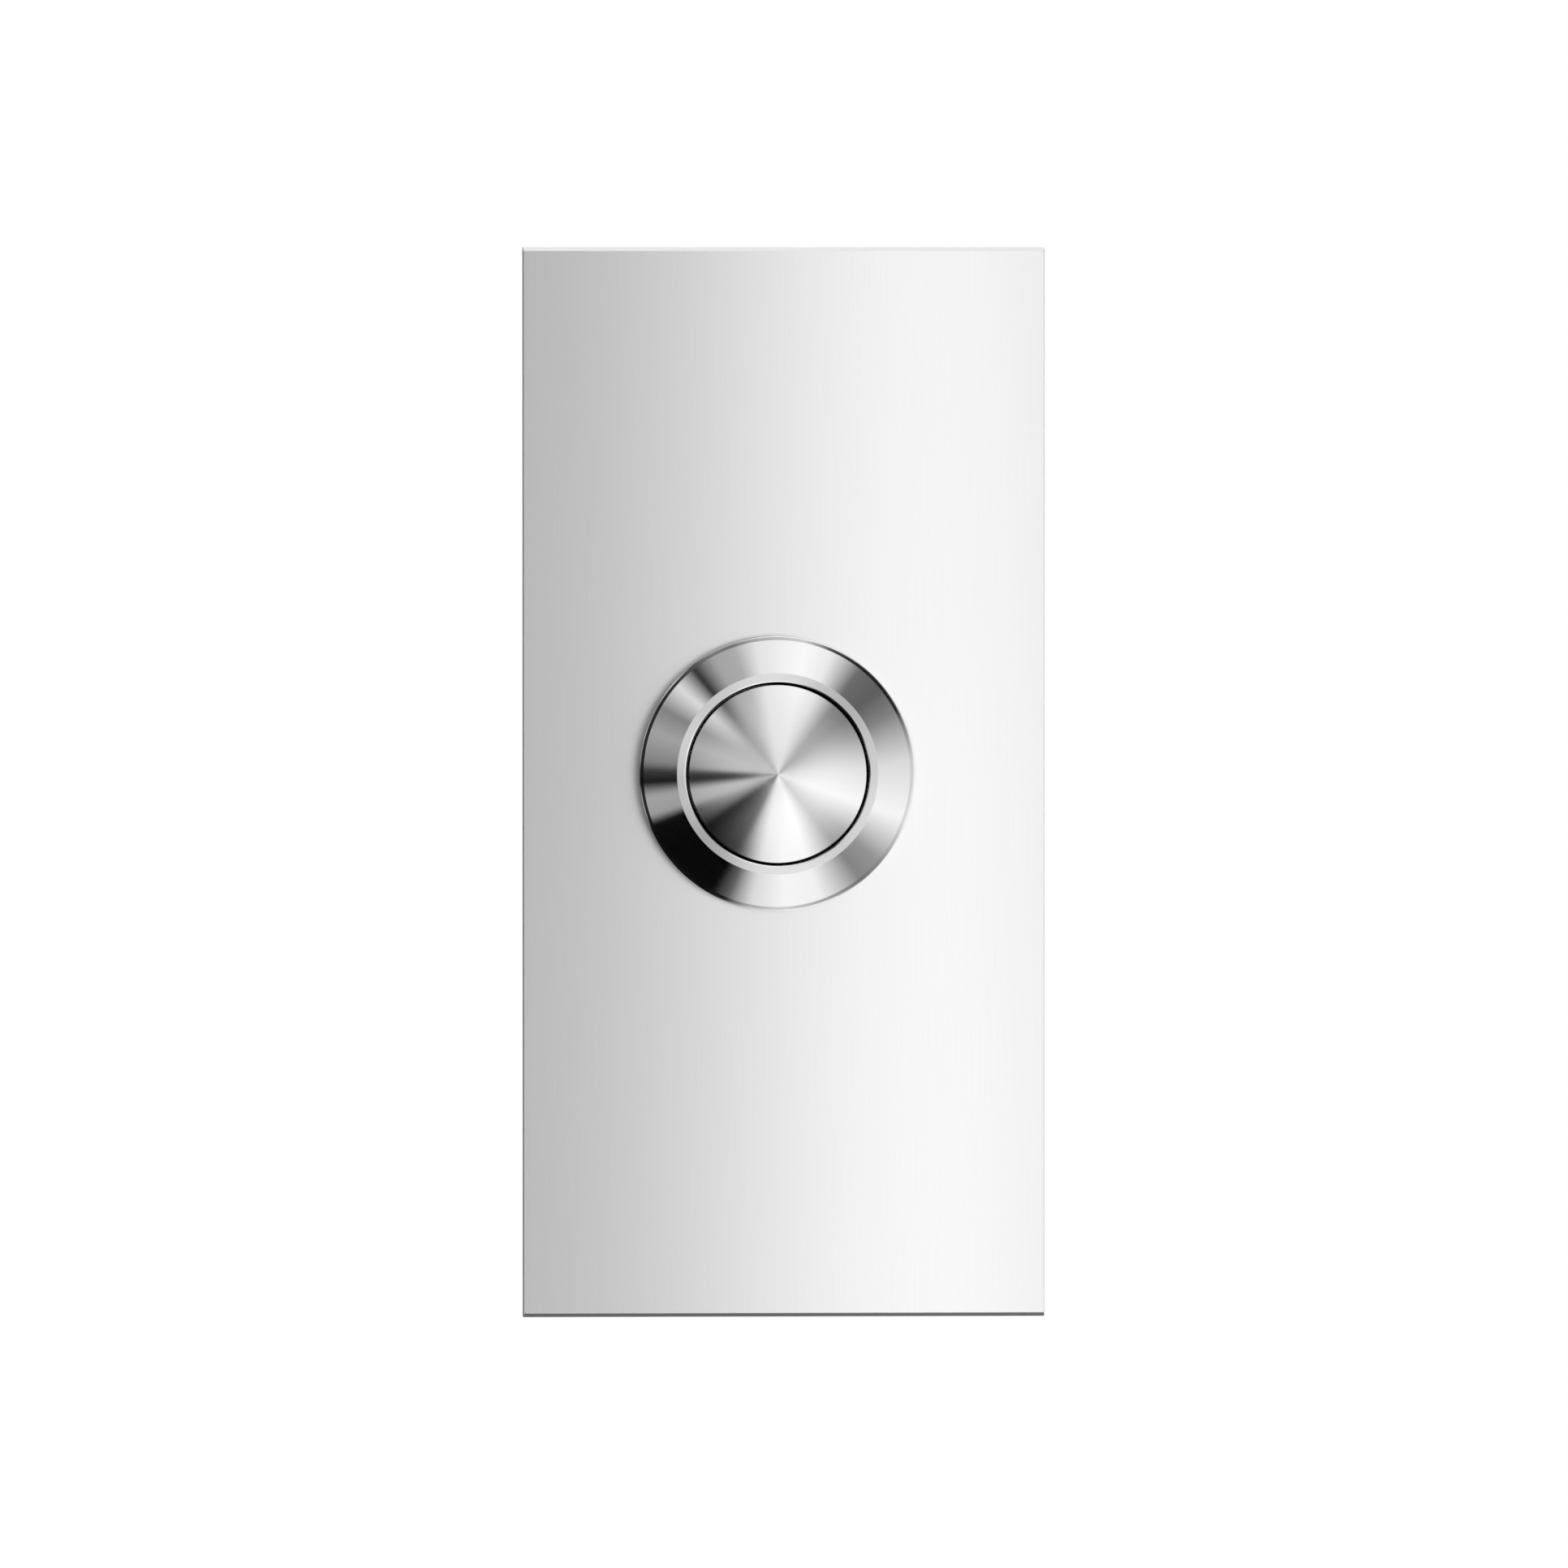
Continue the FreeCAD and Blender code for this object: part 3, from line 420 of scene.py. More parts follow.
def brushed_stainless():
    """Stainless sheet, belt ground upright with about 240 grit.

    The eye sees an even satin that is drawn out sideways, and very faint upright lines.
    """
    material, tree, shader = new_material("brushed_stainless_sheet", {
        "Base Color": colours().steel, "Metallic": 1.0, "Roughness": 0.46, "Anisotropic": 0.9})
    # Grit lines of 0.05 mm are finer than the picture shows, so they are drawn about 0.14 mm wide.
    grain = lines_of(tree, (0.14, 0.5, 9.0), 3.0)
    vary(tree, shader, grain, (0.43, 0.49), 0.0012, (0.885, 0.96), 0.5)
    sideways = add(tree, "ShaderNodeCombineXYZ", {"X": 1.0})
    tree.links.new(sideways.outputs[0], shader.inputs["Tangent"])
    return material


def turned_metal(name, colour, roughness, stretch, groove_mm, bump_mm, tint=(0.985, 1.015), gap_mm=None):
    """Metal turned on a lathe: the tool leaves fine circles, which draw each light out into a fan of rays.

    In a gap, given by two radii, the depth where it begins and how much deeper that is on its outer wall, the
    colour falls to near black: painted shade where the gap's walls lie in shadow.
    """
    material, tree, shader = new_material(name, {
        "Base Color": colour, "Metallic": 1.0, "Roughness": roughness, "Anisotropic": stretch})
    radius, depth = turned_tangent(tree, shader)
    along = add(tree, "ShaderNodeMath", {"operation": "ADD"}, {0: radius, 1: depth})
    scaled = add(tree, "ShaderNodeMath", {"operation": "DIVIDE", 1: groove_mm * MM}, {0: along.outputs[0]})
    circles = add(tree, "ShaderNodeTexNoise", {"noise_dimensions": "1D", "Scale": 1.0, "Detail": 2.0},
                  {"W": scaled.outputs[0]})
    vary(tree, shader, circles.outputs["Fac"], (roughness - 0.02, roughness + 0.02), bump_mm, tint, 0.4)
    # Painted shade: inside the gap the base colour is mixed to near black, where the walls lie in shadow.
    if gap_mm:
        inner, outer, front, deeper = (size * MM for size in gap_mm)
        middle, half = (inner + outer) / 2, (outer - inner) / 2
        fade = 0.08 * MM
        from_middle = add(tree, "ShaderNodeMath", {"operation": "SUBTRACT", 1: middle}, {0: radius})
        aside = add(tree, "ShaderNodeMath", {"operation": "ABSOLUTE"}, {0: from_middle.outputs[0]})
        between = add(tree, "ShaderNodeMath", {"operation": "LESS_THAN", 1: half}, {0: aside.outputs[0]})
        outer_wall = add(tree, "ShaderNodeMath", {"operation": "GREATER_THAN", 1: middle}, {0: radius})
        from_front = add(tree, "ShaderNodeMath", {"operation": "MULTIPLY_ADD", 1: -deeper},
                         {0: outer_wall.outputs[0], 2: depth})
        inside = add(tree, "ShaderNodeMapRange", {"From Min": front, "From Max": front + fade},
                     {"Value": from_front.outputs[0]})
        in_gap = add(tree, "ShaderNodeMath", {"operation": "MULTIPLY"},
                     {0: between.outputs[0], 1: inside.outputs["Result"]})
        unshaded = shader.inputs["Base Color"].links[0].from_socket
        gap_shaded = add(tree, "ShaderNodeMix", {"data_type": "RGBA", 7: colours().gap_shade},
                    {0: in_gap.outputs[0], 6: unshaded})
        tree.links.new(gap_shaded.outputs[2], shader.inputs["Base Color"])
    return material


def plated_metal(name, colour, roughness, grain_mm, tint):
    """Plated or rolled metal: an even satin with a faint cloudiness that the bath or the rolls leave."""
    material, tree, shader = new_material(name, {"Base Color": colour, "Metallic": 1.0, "Roughness": roughness})
    cloud = lines_of(tree, (grain_mm,) * 3, 7.0, 4.0)
    vary(tree, shader, cloud, (roughness - 0.07, roughness + 0.07), 0.004, tint, 0.3)
    return material


def moulded_plastic(name, colour, roughness, ior, grain_mm, bump_mm, soft=0.0):
    """Moulded polymer: matt from the eroded mould, with a fine even grain in its highlight."""
    material, tree, shader = new_material(name, {
        "Base Color": colour, "Roughness": roughness, "IOR": ior, "Subsurface Weight": soft,
        "Subsurface Radius": (0.9, 0.8, 0.7), "Subsurface Scale": 0.0004})
    grain = lines_of(tree, (grain_mm,) * 3, 1.0, 2.0)
    vary(tree, shader, grain, (roughness - 0.06, roughness + 0.06), bump_mm, (0.93, 1.05), 0.6)
    return material


def closed_cell_foam():
    """Die-cut closed cell foam: dull and dark, with the skin's small open pores."""
    material, tree, shader = new_material("closed_cell_foam", {
        "Base Color": colours().foam, "Roughness": 0.9, "IOR": 1.45})
    place = add(tree, "ShaderNodeTexCoord")
    # Cells of about 0.25 mm, drawn 0.4 mm wide so that they show.
    cells = add(tree, "ShaderNodeTexVoronoi", {"Scale": 1 / (0.4 * MM), "Randomness": 1.0},
                {"Vector": place.outputs["Object"]})
    vary(tree, shader, cells.outputs["Distance"], (0.8, 0.98), 0.09, (0.75, 1.2), 0.8)
    return material


FINISHES = {}


def finishes():
    """Every finish of the button by the name of its slot in the record, each made once."""
    if not FINISHES:
        tint = colours()
        FINISHES.update({
            # Ground sheet: satin, stretched sideways.
            "plate_steel": brushed_stainless(),
            # Lathe-turned stainless: concentric circles that fan the lights out from the centre, and painted shade
            # in the gap round the cap.
            "turned_steel": turned_metal("turned_stainless", tint.steel, 0.11, 1.0, 0.09, 0.0006,
                                         gap_mm=(7.05, 7.39, -5.17, 1.5)),
            # Cold-headed stainless studs: satin, slightly grey.
            "stud_steel": plated_metal("cold_headed_stainless", tint.stud, 0.34, 0.5, (0.94, 1.04)),
            # Nickel-plated brass: bright and a little warm.
            "nut_plating": plated_metal("nickel_plated_brass", tint.nickel, 0.24, 1.2, (0.96, 1.03)),
            # Drawn spring wire: grey with a tight sheen.
            "spring_wire": plated_metal("drawn_spring_wire", tint.wire, 0.3, 0.25, (0.9, 1.06)),
            # Turned brass: warm, with fine tool circles.
            "brass": turned_metal("turned_brass", tint.brass, 0.28, 0.5, 0.08, 0.0008, (0.95, 1.04)),
            # Silver contact: pale and soft.
            "contact_silver": plated_metal("coined_silver", tint.silver, 0.3, 0.2, (0.93, 1.03)),
            # Zinc-plated steel: bluish, with a cloudy passivation.
            "screw_steel": plated_metal("zinc_plated_steel", tint.zinc, 0.36, 0.7, (0.9, 1.06)),
            # Moulded rubber: nearly black and dull.
            "seal_rubber": moulded_plastic("moulded_rubber", tint.rubber, 0.62, 1.52, 0.12, 0.004),
            # Foam: dull and dark, with fine pores.
            "gasket_foam": closed_cell_foam(),
            # Glass-filled polyester: dark, with a fine eroded grain.
            "base_plastic": moulded_plastic("glass_filled_polyester", tint.base, 0.46, 1.57, 0.1, 0.006),
            # Acetal: milky white and slippery.
            "plunger_plastic": moulded_plastic("natural_acetal", tint.plunger, 0.34, 1.48, 0.15, 0.002, 0.3),
        })
    return FINISHES


# Pieces

class DOORBELL_OT_face_plate(bpy.types.Operator):
    """Brushed face plate: flat sheet with the button's hole and eased edges"""
    bl_idname = "doorbell.face_plate"
    bl_label = "Face plate"

    def execute(self, context):
        """Every direction from the hole's centre meets the outline once, so the first parameter is the place on
        the outline and the second runs from the hole over the front, the edge, the back and the hole's wall."""
        low, high = (np.array(corner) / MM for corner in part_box("face_plate"))
        left, right, front, back = low[0], high[0], low[1], high[1]
        # The front edge is broken by its side share upright and by its level share along the top and bottom.
        side, level, rear, burr, hair = sizes().plate_edge / MM, 0.3, 0.05, 0.1, 0.02
        outline, _ = box_outline(left, right, low[2], high[2], per_side=24, cuts=(side, level))
        x, z = outline.T

        def inset(across, up):
            """The outline moved in by a distance along X and one along Z."""
            return np.stack([np.clip(x, left + across, right - across), np.clip(z, low[2] + up, high[2] - up)], -1)

        hole = 9.6 * outline / np.linalg.norm(outline, axis=1)[:, None]
        mouth = 1.01 * hole
        drop = np.maximum(side, level - np.minimum(z - low[2], high[2] - z))
        grid = sheet_grid([
            (hole, front + burr), (mouth, front), (inset(side + hair, level + hair), front),
            (inset(side, level), front), (outline, front + drop), (outline, front + drop + hair),
            (outline, back - rear), (inset(rear, rear), back), (mouth, back), (hole, back - burr),
            (hole, front + burr)])
        piece = add_mesh("brushed_plate", [grid], sharp=20)
        dress(piece, finishes()["plate_steel"], "housing", "face_plate")
        return {"FINISHED"}


class DOORBELL_OT_studs(bpy.types.Operator):
    """Weld studs: a thin flange on the plate and a threaded shank with a pointed end"""
    bl_idname = "doorbell.studs"
    bl_label = "Weld studs"

    def execute(self, context):
        """A profile and the thread's rows are carried round each stud's axis."""
        angles = full_turn(64)
        pitch, shank, flange = sizes().stud_pitch / MM, 2.0, 2.75
        root = shank - thread_height(pitch)
        for node in ("upper_stud", "lower_stud"):
            low, high = (np.array(corner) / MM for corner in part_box(node))
            front, back, height = low[1], high[1], (low[2] + high[2]) / 2
            start, end = front + 2.2, back - 0.3
            head = eased([(0, front, 0), (flange, front, 0.05), (flange, front + 0.5, 0.2),
                          (2.2, front + 0.8, 0.2), (shank, front + 1.1, 0.1), (shank, front + 1.6, 0.05),
                          (root, front + 1.9, 0.05), (root, start, 0)])
            thread = thread_rows(angles, shank, pitch, start, end)
            tip = eased([(root, end, 0), (root - 0.25, back, 0.1), (0, back, 0)])
            piece = add_mesh(node + "_threaded", [round_grid(
                angles, *stack_rows(angles, head, thread, tip), (0, height))])
            dress(piece, finishes()["stud_steel"], "housing", node)
        return {"FINISHED"}


class DOORBELL_OT_sealing_sheet(bpy.types.Operator):
    """Foam sealing sheet between plate and wall, open round the nut and the studs"""
    bl_idname = "doorbell.sealing_sheet"
    bl_label = "Sealing sheet"

    def execute(self, context):
        """The sheet is three cells, one round each opening.  In a cell the first parameter goes round its outline
        and the second from the outline to the opening, through it, back, and over the side, which bulges with
        half a sine wave.  The sides that two cells share are left out."""
        low, high = (np.array(corner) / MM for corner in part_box("wall_gasket"))
        front, back = low[1], high[1]
        bulge = sizes().foam_bulge / MM
        # Where two cells meet, the openings for studs and nut, and the sheet's corner radius.
        lower, upper, stud_hole, nut_hole, corner = -19.0, 19.0, 3.15, 14.0, 2
        share = np.linspace(0, 1, 7)
        wave = np.sin(math.pi * share)
        depth = front + (back - front) * (0.5 - 0.5 * np.cos(math.pi * share))
        grids, keeps = [], []
        for base, top, centre, radius, corners in (
                (low[2], lower, -STUD_PLACE, stud_hole, (corner, corner, 0, 0)),
                (lower, upper, 0.0, nut_hole, (0, 0, 0, 0)),
                (upper, high[2], STUD_PLACE, stud_hole, (0, 0, corner, corner))):
            outline, outward = box_outline(low[0], high[0], base, top, corners, per_side=20)
            touching = np.isclose(outline[:, 1], lower) | np.isclose(outline[:, 1], upper)
            outward[touching] = np.sign(outline[touching, :1] - (low[0] + high[0]) / 2) * [1, 0]
            middle = np.array([0, centre])
            spoke = (outline - middle) / np.linalg.norm(outline - middle, axis=1)[:, None]
            mouth = middle + spoke * 1.1 * radius
            hole = [(middle + spoke * (radius - 0.4 * bulge * w), d) for w, d in zip(wave, depth)]
            rows = [(outline, front), (mouth, front), *hole, (mouth, back)]
            inner = len(rows)
            rows += [(outline - outward * bulge * (1 - np.sin(math.pi * s)), d)
                     for s, d in zip(share[::-1], depth[::-1])]
            grid = sheet_grid(rows)
            grid[0] = grid[-1]
            keep = np.ones((len(rows) - 1, len(outline) - 1), bool)
            keep[inner:, touching[:-1] & touching[1:]] = False
            grids.append(grid)
            keeps.append(keep)
        piece = add_mesh("foam_sheet", grids, keeps, sharp=50, merge=1e-6)
        dress(piece, finishes()["gasket_foam"], "housing", "wall_gasket")
        return {"FINISHED"}


class DOORBELL_OT_housing(bpy.types.Operator):
    """Turned button housing: bevelled head, threaded barrel and bores"""
    bl_idname = "doorbell.housing"
    bl_label = "Button housing"

    def execute(self, context):
        """One profile goes out over the head, back along the barrel's thread and home through the bores, and is
        carried round the axis."""
        angles = full_turn(160)
        edge, pitch = sizes().turned_edge / MM, sizes().barrel_pitch / MM
        rim, barrel, bore, chamber = 11.0, 9.5, 7.32, 7.8
        start, end, back = -1.8, 14.95, 15.0
        root = barrel - thread_height(pitch)
        head = eased([
            (STEM_BORE, WEB_FRONT, 0), (bore, WEB_FRONT, 0.1), (bore, LAND, 0.12), (8.07, LAND, edge),
            (10.69, -3.85, 0.02), (10.93, -3.66, 0.02), (rim, -3.64, 0.01), (rim, PLATE_FRONT, 0.02),
            (10.7, PLATE_FRONT, 0), (10.65, -3.6, 0), (9.8, -3.6, 0), (9.8, PLATE_FRONT, 0),
            (9.2, PLATE_FRONT, 0), (9.2, -2.1, 0.2), (root, -1.9, 0.1), (root, start, 0)])
        thread = thread_rows(angles, barrel, pitch, start, end)
        tail = eased([
            (root, end, 0), (root, back, 0), (chamber, back, 0.1), (chamber, 14.65, 0), (8.3, 14.65, 0),
            (8.3, 13.8, 0), (chamber, 13.8, 0), (chamber, 12.0, 0.05), (7.0, 12.0, 0.05),
            (7.0, WEB_BACK, 0.2), (STEM_BORE, WEB_BACK, 0.1), (STEM_BORE, SEAL_BACK, 0),
            (3.97, SEAL_BACK, 0), (3.97, SEAL_FRONT, 0), (STEM_BORE, SEAL_FRONT, 0), (STEM_BORE, WEB_FRONT, 0)])
        piece = add_mesh("turned_housing", [round_grid(angles, *stack_rows(angles, head, thread, tail))])
        dress(piece, finishes()["turned_steel"], "housing", "button_housing")
        return {"FINISHED"}


class DOORBELL_OT_seals(bpy.types.Operator):
    """Rubber rings under the head and round the stem"""
    bl_idname = "doorbell.seals"
    bl_label = "Seals"

    def execute(self, context):
        """A rounded section is carried round the axis."""
        for node, inner, outer, front, back in (("panel_seal", 9.87, 10.57, -3.7, PLATE_FRONT),
                                                ("stem_seal", STEM_BORE, 3.95, SEAL_FRONT, SEAL_BACK)):
            ring = eased([(inner, front, 0.2), (outer, front, 0.2), (outer - 0.05, back, 0.25),
                          (inner + 0.05, back, 0.25)], closed=True)
            piece = add_mesh(node + "_ring", [round_grid(full_turn(96), *ring)], sharp=60)
            dress(piece, finishes()["seal_rubber"], "housing", node)
        return {"FINISHED"}


class DOORBELL_OT_push_cap(bpy.types.Operator):
    """Turned push cap: shallow dome with a faint centre point, hub, stem and spigot"""
    bl_idname = "doorbell.push_cap"
    bl_label = "Push cap"

    def execute(self, context):
        """The dome is the part of a sphere of 34 mm whose distance from the axis is below the cap's radius; its
        last 0.8 mm rise to the tip along a cone.  The rest is a profile; both are carried round the axis."""
        rim, ball, cone, rise = 7.12, 34.0, 0.8, 0.025
        hub, stem, groove, spigot = 3.8, 3.0, 2.5, 1.5
        hub_back, groove_back, stem_back, spigot_back = -1.31, 3.85, 4.4, 5.9
        centre = LAND + math.sqrt(ball ** 2 - rim ** 2)
        radius = np.concatenate([np.linspace(cone, rim - 0.09, 22), [rim - 0.07]])
        depth = centre - np.sqrt(ball ** 2 - radius ** 2)
        tip = (np.array([0.0, 0.02, 0.4, 0.78]), depth[0] - rise * np.array([1.0, 0.98, 0.5, 0.03]))
        body = eased([
            (rim - 0.05, depth[-1] + 0.005, 0), (rim, depth[-1] + 0.05, 0.02), (rim, CAP_BACK, 0.1),
            (hub, CAP_BACK, 0.1), (hub, hub_back, 0.15), (stem, hub_back, 0.1), (stem, WEB_BACK, 0.05),
            (groove, WEB_BACK, 0), (groove, groove_back, 0), (stem, groove_back, 0.05), (stem, stem_back, 0.1),
            (spigot, stem_back, 0.05), (spigot, spigot_back, 0.15), (0, spigot_back, 0)])
        angles = full_turn(160)
        grid = round_grid(angles, *stack_rows(angles, tip, (radius, depth), body))
        piece = add_mesh("turned_cap", [grid], sharp=35)
        dress(piece, finishes()["turned_steel"], "button", "push_cap")
        return {"FINISHED"}


class DOORBELL_OT_springs(bpy.types.Operator):
    """Return spring under the cap and contact spring behind the plunger"""
    bl_idname = "doorbell.springs"
    bl_label = "Springs"

    def execute(self, context):
        """Round wire on a helix with ground ends.  The return spring gets its own copy of its mesh."""
        coil = add_mesh("return_coil", [coil_grid(4.7, 0.25, CAP_BACK, WEB_FRONT, 2.5)], sharp=50)
        dress(coil, finishes()["spring_wire"], "housing", "return_spring")
        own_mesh(coil)
        coil = add_mesh("contact_coil", [coil_grid(1.75, 0.15, 6.4, 9.3, 4, around=10, per_turn=28)], sharp=50)
        dress(coil, finishes()["spring_wire"], "button", "contact_spring")
        return {"FINISHED"}


class DOORBELL_OT_contacts(bpy.types.Operator):
    """Moving and fixed contacts and the clamp washers"""
    bl_idname = "doorbell.contacts"
    bl_label = "Contacts"

    def execute(self, context):
        """Each is a profile carried round its own axis, at either side of the plunger.  The moving contact's face
        is a quarter of a sine wave high."""
        angles = full_turn(48)
        aside, face, face_front, crown = 3.6, 0.93, 10.03, 0.07
        washer_front, washer_back, washer_edge = 19.2, 19.7, 0.12
        share = np.linspace(0, 1, 7)
        rivet = eased([(0, 9.7, 0), (1.0, 9.7, 0.03), (1.0, 9.98, 0.05), (face, face_front, 0)])
        dome = (face * (1 - share), face_front + crown * np.sin(share * math.pi / 2))
        post = eased([(0, 11.6, 0), (1.3, 11.6, 0.08), (1.3, 12.0, 0.03), (0.9, 12.0, 0), (0.9, 14.0, 0),
                      (1.9, 14.0, 0.05), (1.9, washer_front, 0.1), (1.27, washer_front, 0.05), (1.27, 15.7, 0),
                      (0, 15.7, 0)])
        washer = eased([(1.35, washer_front, 0.03), (2.4, washer_front, washer_edge),
                        (2.4, washer_back, washer_edge), (1.35, washer_back, 0.03)], closed=True)
        for side, x in (("left", -aside), ("right", aside)):
            for node, body, rows, slot in (
                    ("moving_contact_", "button", stack_rows(angles, rivet, dome), "contact_silver"),
                    ("fixed_contact_", "housing", post, "brass"),
                    ("clamp_washer_", "housing", washer, "screw_steel")):
                piece = add_mesh(node + side + "_turned", [round_grid(angles, *rows, (x, 0))])
                dress(piece, finishes()[slot], body, node + side)
        return {"FINISHED"}


class DOORBELL_OT_lock_nut(bpy.types.Operator):
    """Hexagon lock nut with its corners turned down on both faces"""
    bl_idname = "doorbell.lock_nut"
    bl_label = "Lock nut"

    def execute(self, context):
        """The outline's distance from the axis is the half width divided by the rounded sum of the cosines to the
        six flats.  Where it stands beyond the flats' circle the face drops with that distance."""
        angles = full_turn(180)
        half, drop = 11.0, 0.5
        corner, circle = half / math.cos(math.pi / 6), half - 0.15
        flats = np.arange(6)[:, None] * TURN / 6 + TURN / 12
        cosines = np.maximum(np.cos(angles - flats), 0)
        outline = np.minimum(half / (cosines ** 90).sum(0) ** (1 / 90), corner)
        rows = []
        for face, into in ((-0.2, 1), (2.8, -1)):
            inner = [(9.52, face + into * 0.4), (9.92, face), (half - 0.35, face), (half - 0.2, face)]
            steps = [(np.full(len(angles), r), np.full(len(angles), d)) for r, d in inner]
            for share in (0.0, 0.5, 1.0):
                reach = circle + (outline - circle) * share
                fall = drop * np.maximum(reach - circle, 0) / (corner - circle)
                steps.append((reach, face + into * fall))
            rows += steps if into == 1 else steps[::-1]
        rows.append(rows[0])
        radius, depth = (np.array([row[i] for row in rows]) for i in (0, 1))
        piece = add_mesh("hexagon_nut", [round_grid(angles, radius, depth)], sharp=28)
        dress(piece, finishes()["nut_plating"], "housing", "lock_nut")
        return {"FINISHED"}


class DOORBELL_OT_small_parts(bpy.types.Operator):
    """Clip, plunger, bridge, base, rings and terminal screws, as their solids with eased edges"""
    bl_idname = "doorbell.small_parts"
    bl_label = "Small parts"

    def execute(self, context):
        """Each keeps its solid's flat faces and gets an arc of the sheet edge along its sharp edges."""
        for node, name, slot in (
                ("retaining_clip", "stem_clip", "spring_wire"),
                ("plunger", "moulded_plunger", "plunger_plastic"),
                ("contact_bridge", "bridge_strip", "brass"),
                ("switch_base", "moulded_base", "base_plastic"),
                ("base_retaining_ring", "base_ring", "spring_wire"),
                ("terminal_screw_left", "left_screw", "screw_steel"),
                ("terminal_screw_right", "right_screw", "screw_steel"),
                ("lock_washer", "toothed_washer", "screw_steel")):
            body = "button" if node in ("retaining_clip", "plunger", "contact_bridge") else "housing"
            eased_solid(node, name, finishes()[slot], body)
        return {"FINISHED"}


# Studio

# The tent of light and dark cloths round the front, which only metal shows.  Each row is a direction round the lens
# axis, in degrees from the right towards the top, and the cloths' brightness beside the lens, half way down and low.
TENT = (
    (-20, 1.35, 1.25, 0.95),
    (4, 1.15, 0.95, 0.80),
    (26, 0.80, 0.30, 0.00),
    (38, 0.60, 0.15, 0.00),
    (50, 0.55, 0.20, 0.00),
    (64, 0.90, 1.15, 0.00),
    (76, 1.10, 1.30, 0.75),
    (98, 1.05, 1.05, 0.40),
    (108, 0.85, 0.55, 0.10),
    (118, 0.60, 0.50, 0.20),
    (128, 0.50, 0.00, 0.10),
    (138, 0.60, 1.00, 0.00),
    (150, 0.65, 0.30, 0.00),
    (162, 0.70, 0.50, 0.00),
    (175, 0.70, 0.30, 0.00),
    (179, 0.00, 0.05, 0.00),
    (185, 0.00, 0.00, 0.00),
    (191, 0.75, 0.50, 0.00),
    (199, 0.70, 0.45, 0.00),
    (203, 0.55, 0.00, 0.00),
    (216, 0.00, 0.00, 0.00),
    (243, 0.20, 0.00, 0.00),
    (250, 0.85, 0.15, 0.00),
    (260, 1.25, 0.95, 0.50),
    (275, 1.30, 1.25, 0.85),
    (290, 1.45, 1.20, 0.50),
    (309, 0.90, 0.30, 0.20),
    (320, 1.05, 0.40, 0.35),
)
LENS_OPENING = 0.80
# A bright card stands level with the plate above it: how bright it is, and the degrees to either side of straight
# up where it begins to fade and where it ends.
LEVEL_CARD, LEVEL_SPREAD = 2.0, (20, 35)
# Angles off the lens axis, in degrees, across which each part of the tent gives way to the next one out.
TO_BESIDE, TO_HALF_WAY, TO_LOW, TO_LEVEL = (1, 3.5), (13, 27), (62, 70), (84, 88)
TENT_RADIUS = 600.0
FLOOR_DEPTH, FLOOR_REACH = -640.0, 1500.0


def tent_brightness(around, off):
    """Brightness of the tent at directions round the lens axis and angles off it, both in degrees.

    Round the axis it runs evenly from row to row.  Off the axis it runs evenly from the lens's opening to the
    cloths beside it, half way down and low, and last to the level card.
    """
    rows = np.array(TENT)
    first, full = rows[0, 0], [360, 0, 0, 0]
    turn = np.concatenate([rows[-1:] - full, rows, rows[:1] + full])
    around = np.mod(around - first, 360) + first
    beside, half_way, low = (np.interp(around, turn[:, 0], turn[:, i]) for i in (1, 2, 3))
    level = LEVEL_CARD * np.interp(np.abs(np.mod(around, 360) - 90), LEVEL_SPREAD, (1, 0))
    to_beside, to_half_way, to_low, to_level = (
        np.interp(off, zone, (0, 1)) for zone in (TO_BESIDE, TO_HALF_WAY, TO_LOW, TO_LEVEL))
    upper = LENS_OPENING * (1 - to_beside) + to_beside * (beside * (1 - to_half_way) + half_way * to_half_way)
    lower = low * (1 - to_level) + level * to_level
    return upper * (1 - to_low) + lower * to_low


def bare_tree(owner):
    """The emptied node tree of a new material or world."""
    owner.use_nodes = True
    owner.node_tree.nodes.clear()
    return owner.node_tree


def area_lamp(name, wide, high, power, place):
    """A rectangular lamp, in metres and watts, that shines along -Z until it is turned."""
    light = bpy.data.lights.new(name, "AREA")
    light.shape, light.size, light.size_y, light.energy = "RECTANGLE", wide, high, power
    lamp = bpy.data.objects.new(name, light)
    lamp.location = place
    bpy.context.scene.collection.objects.link(lamp)
    return lamp


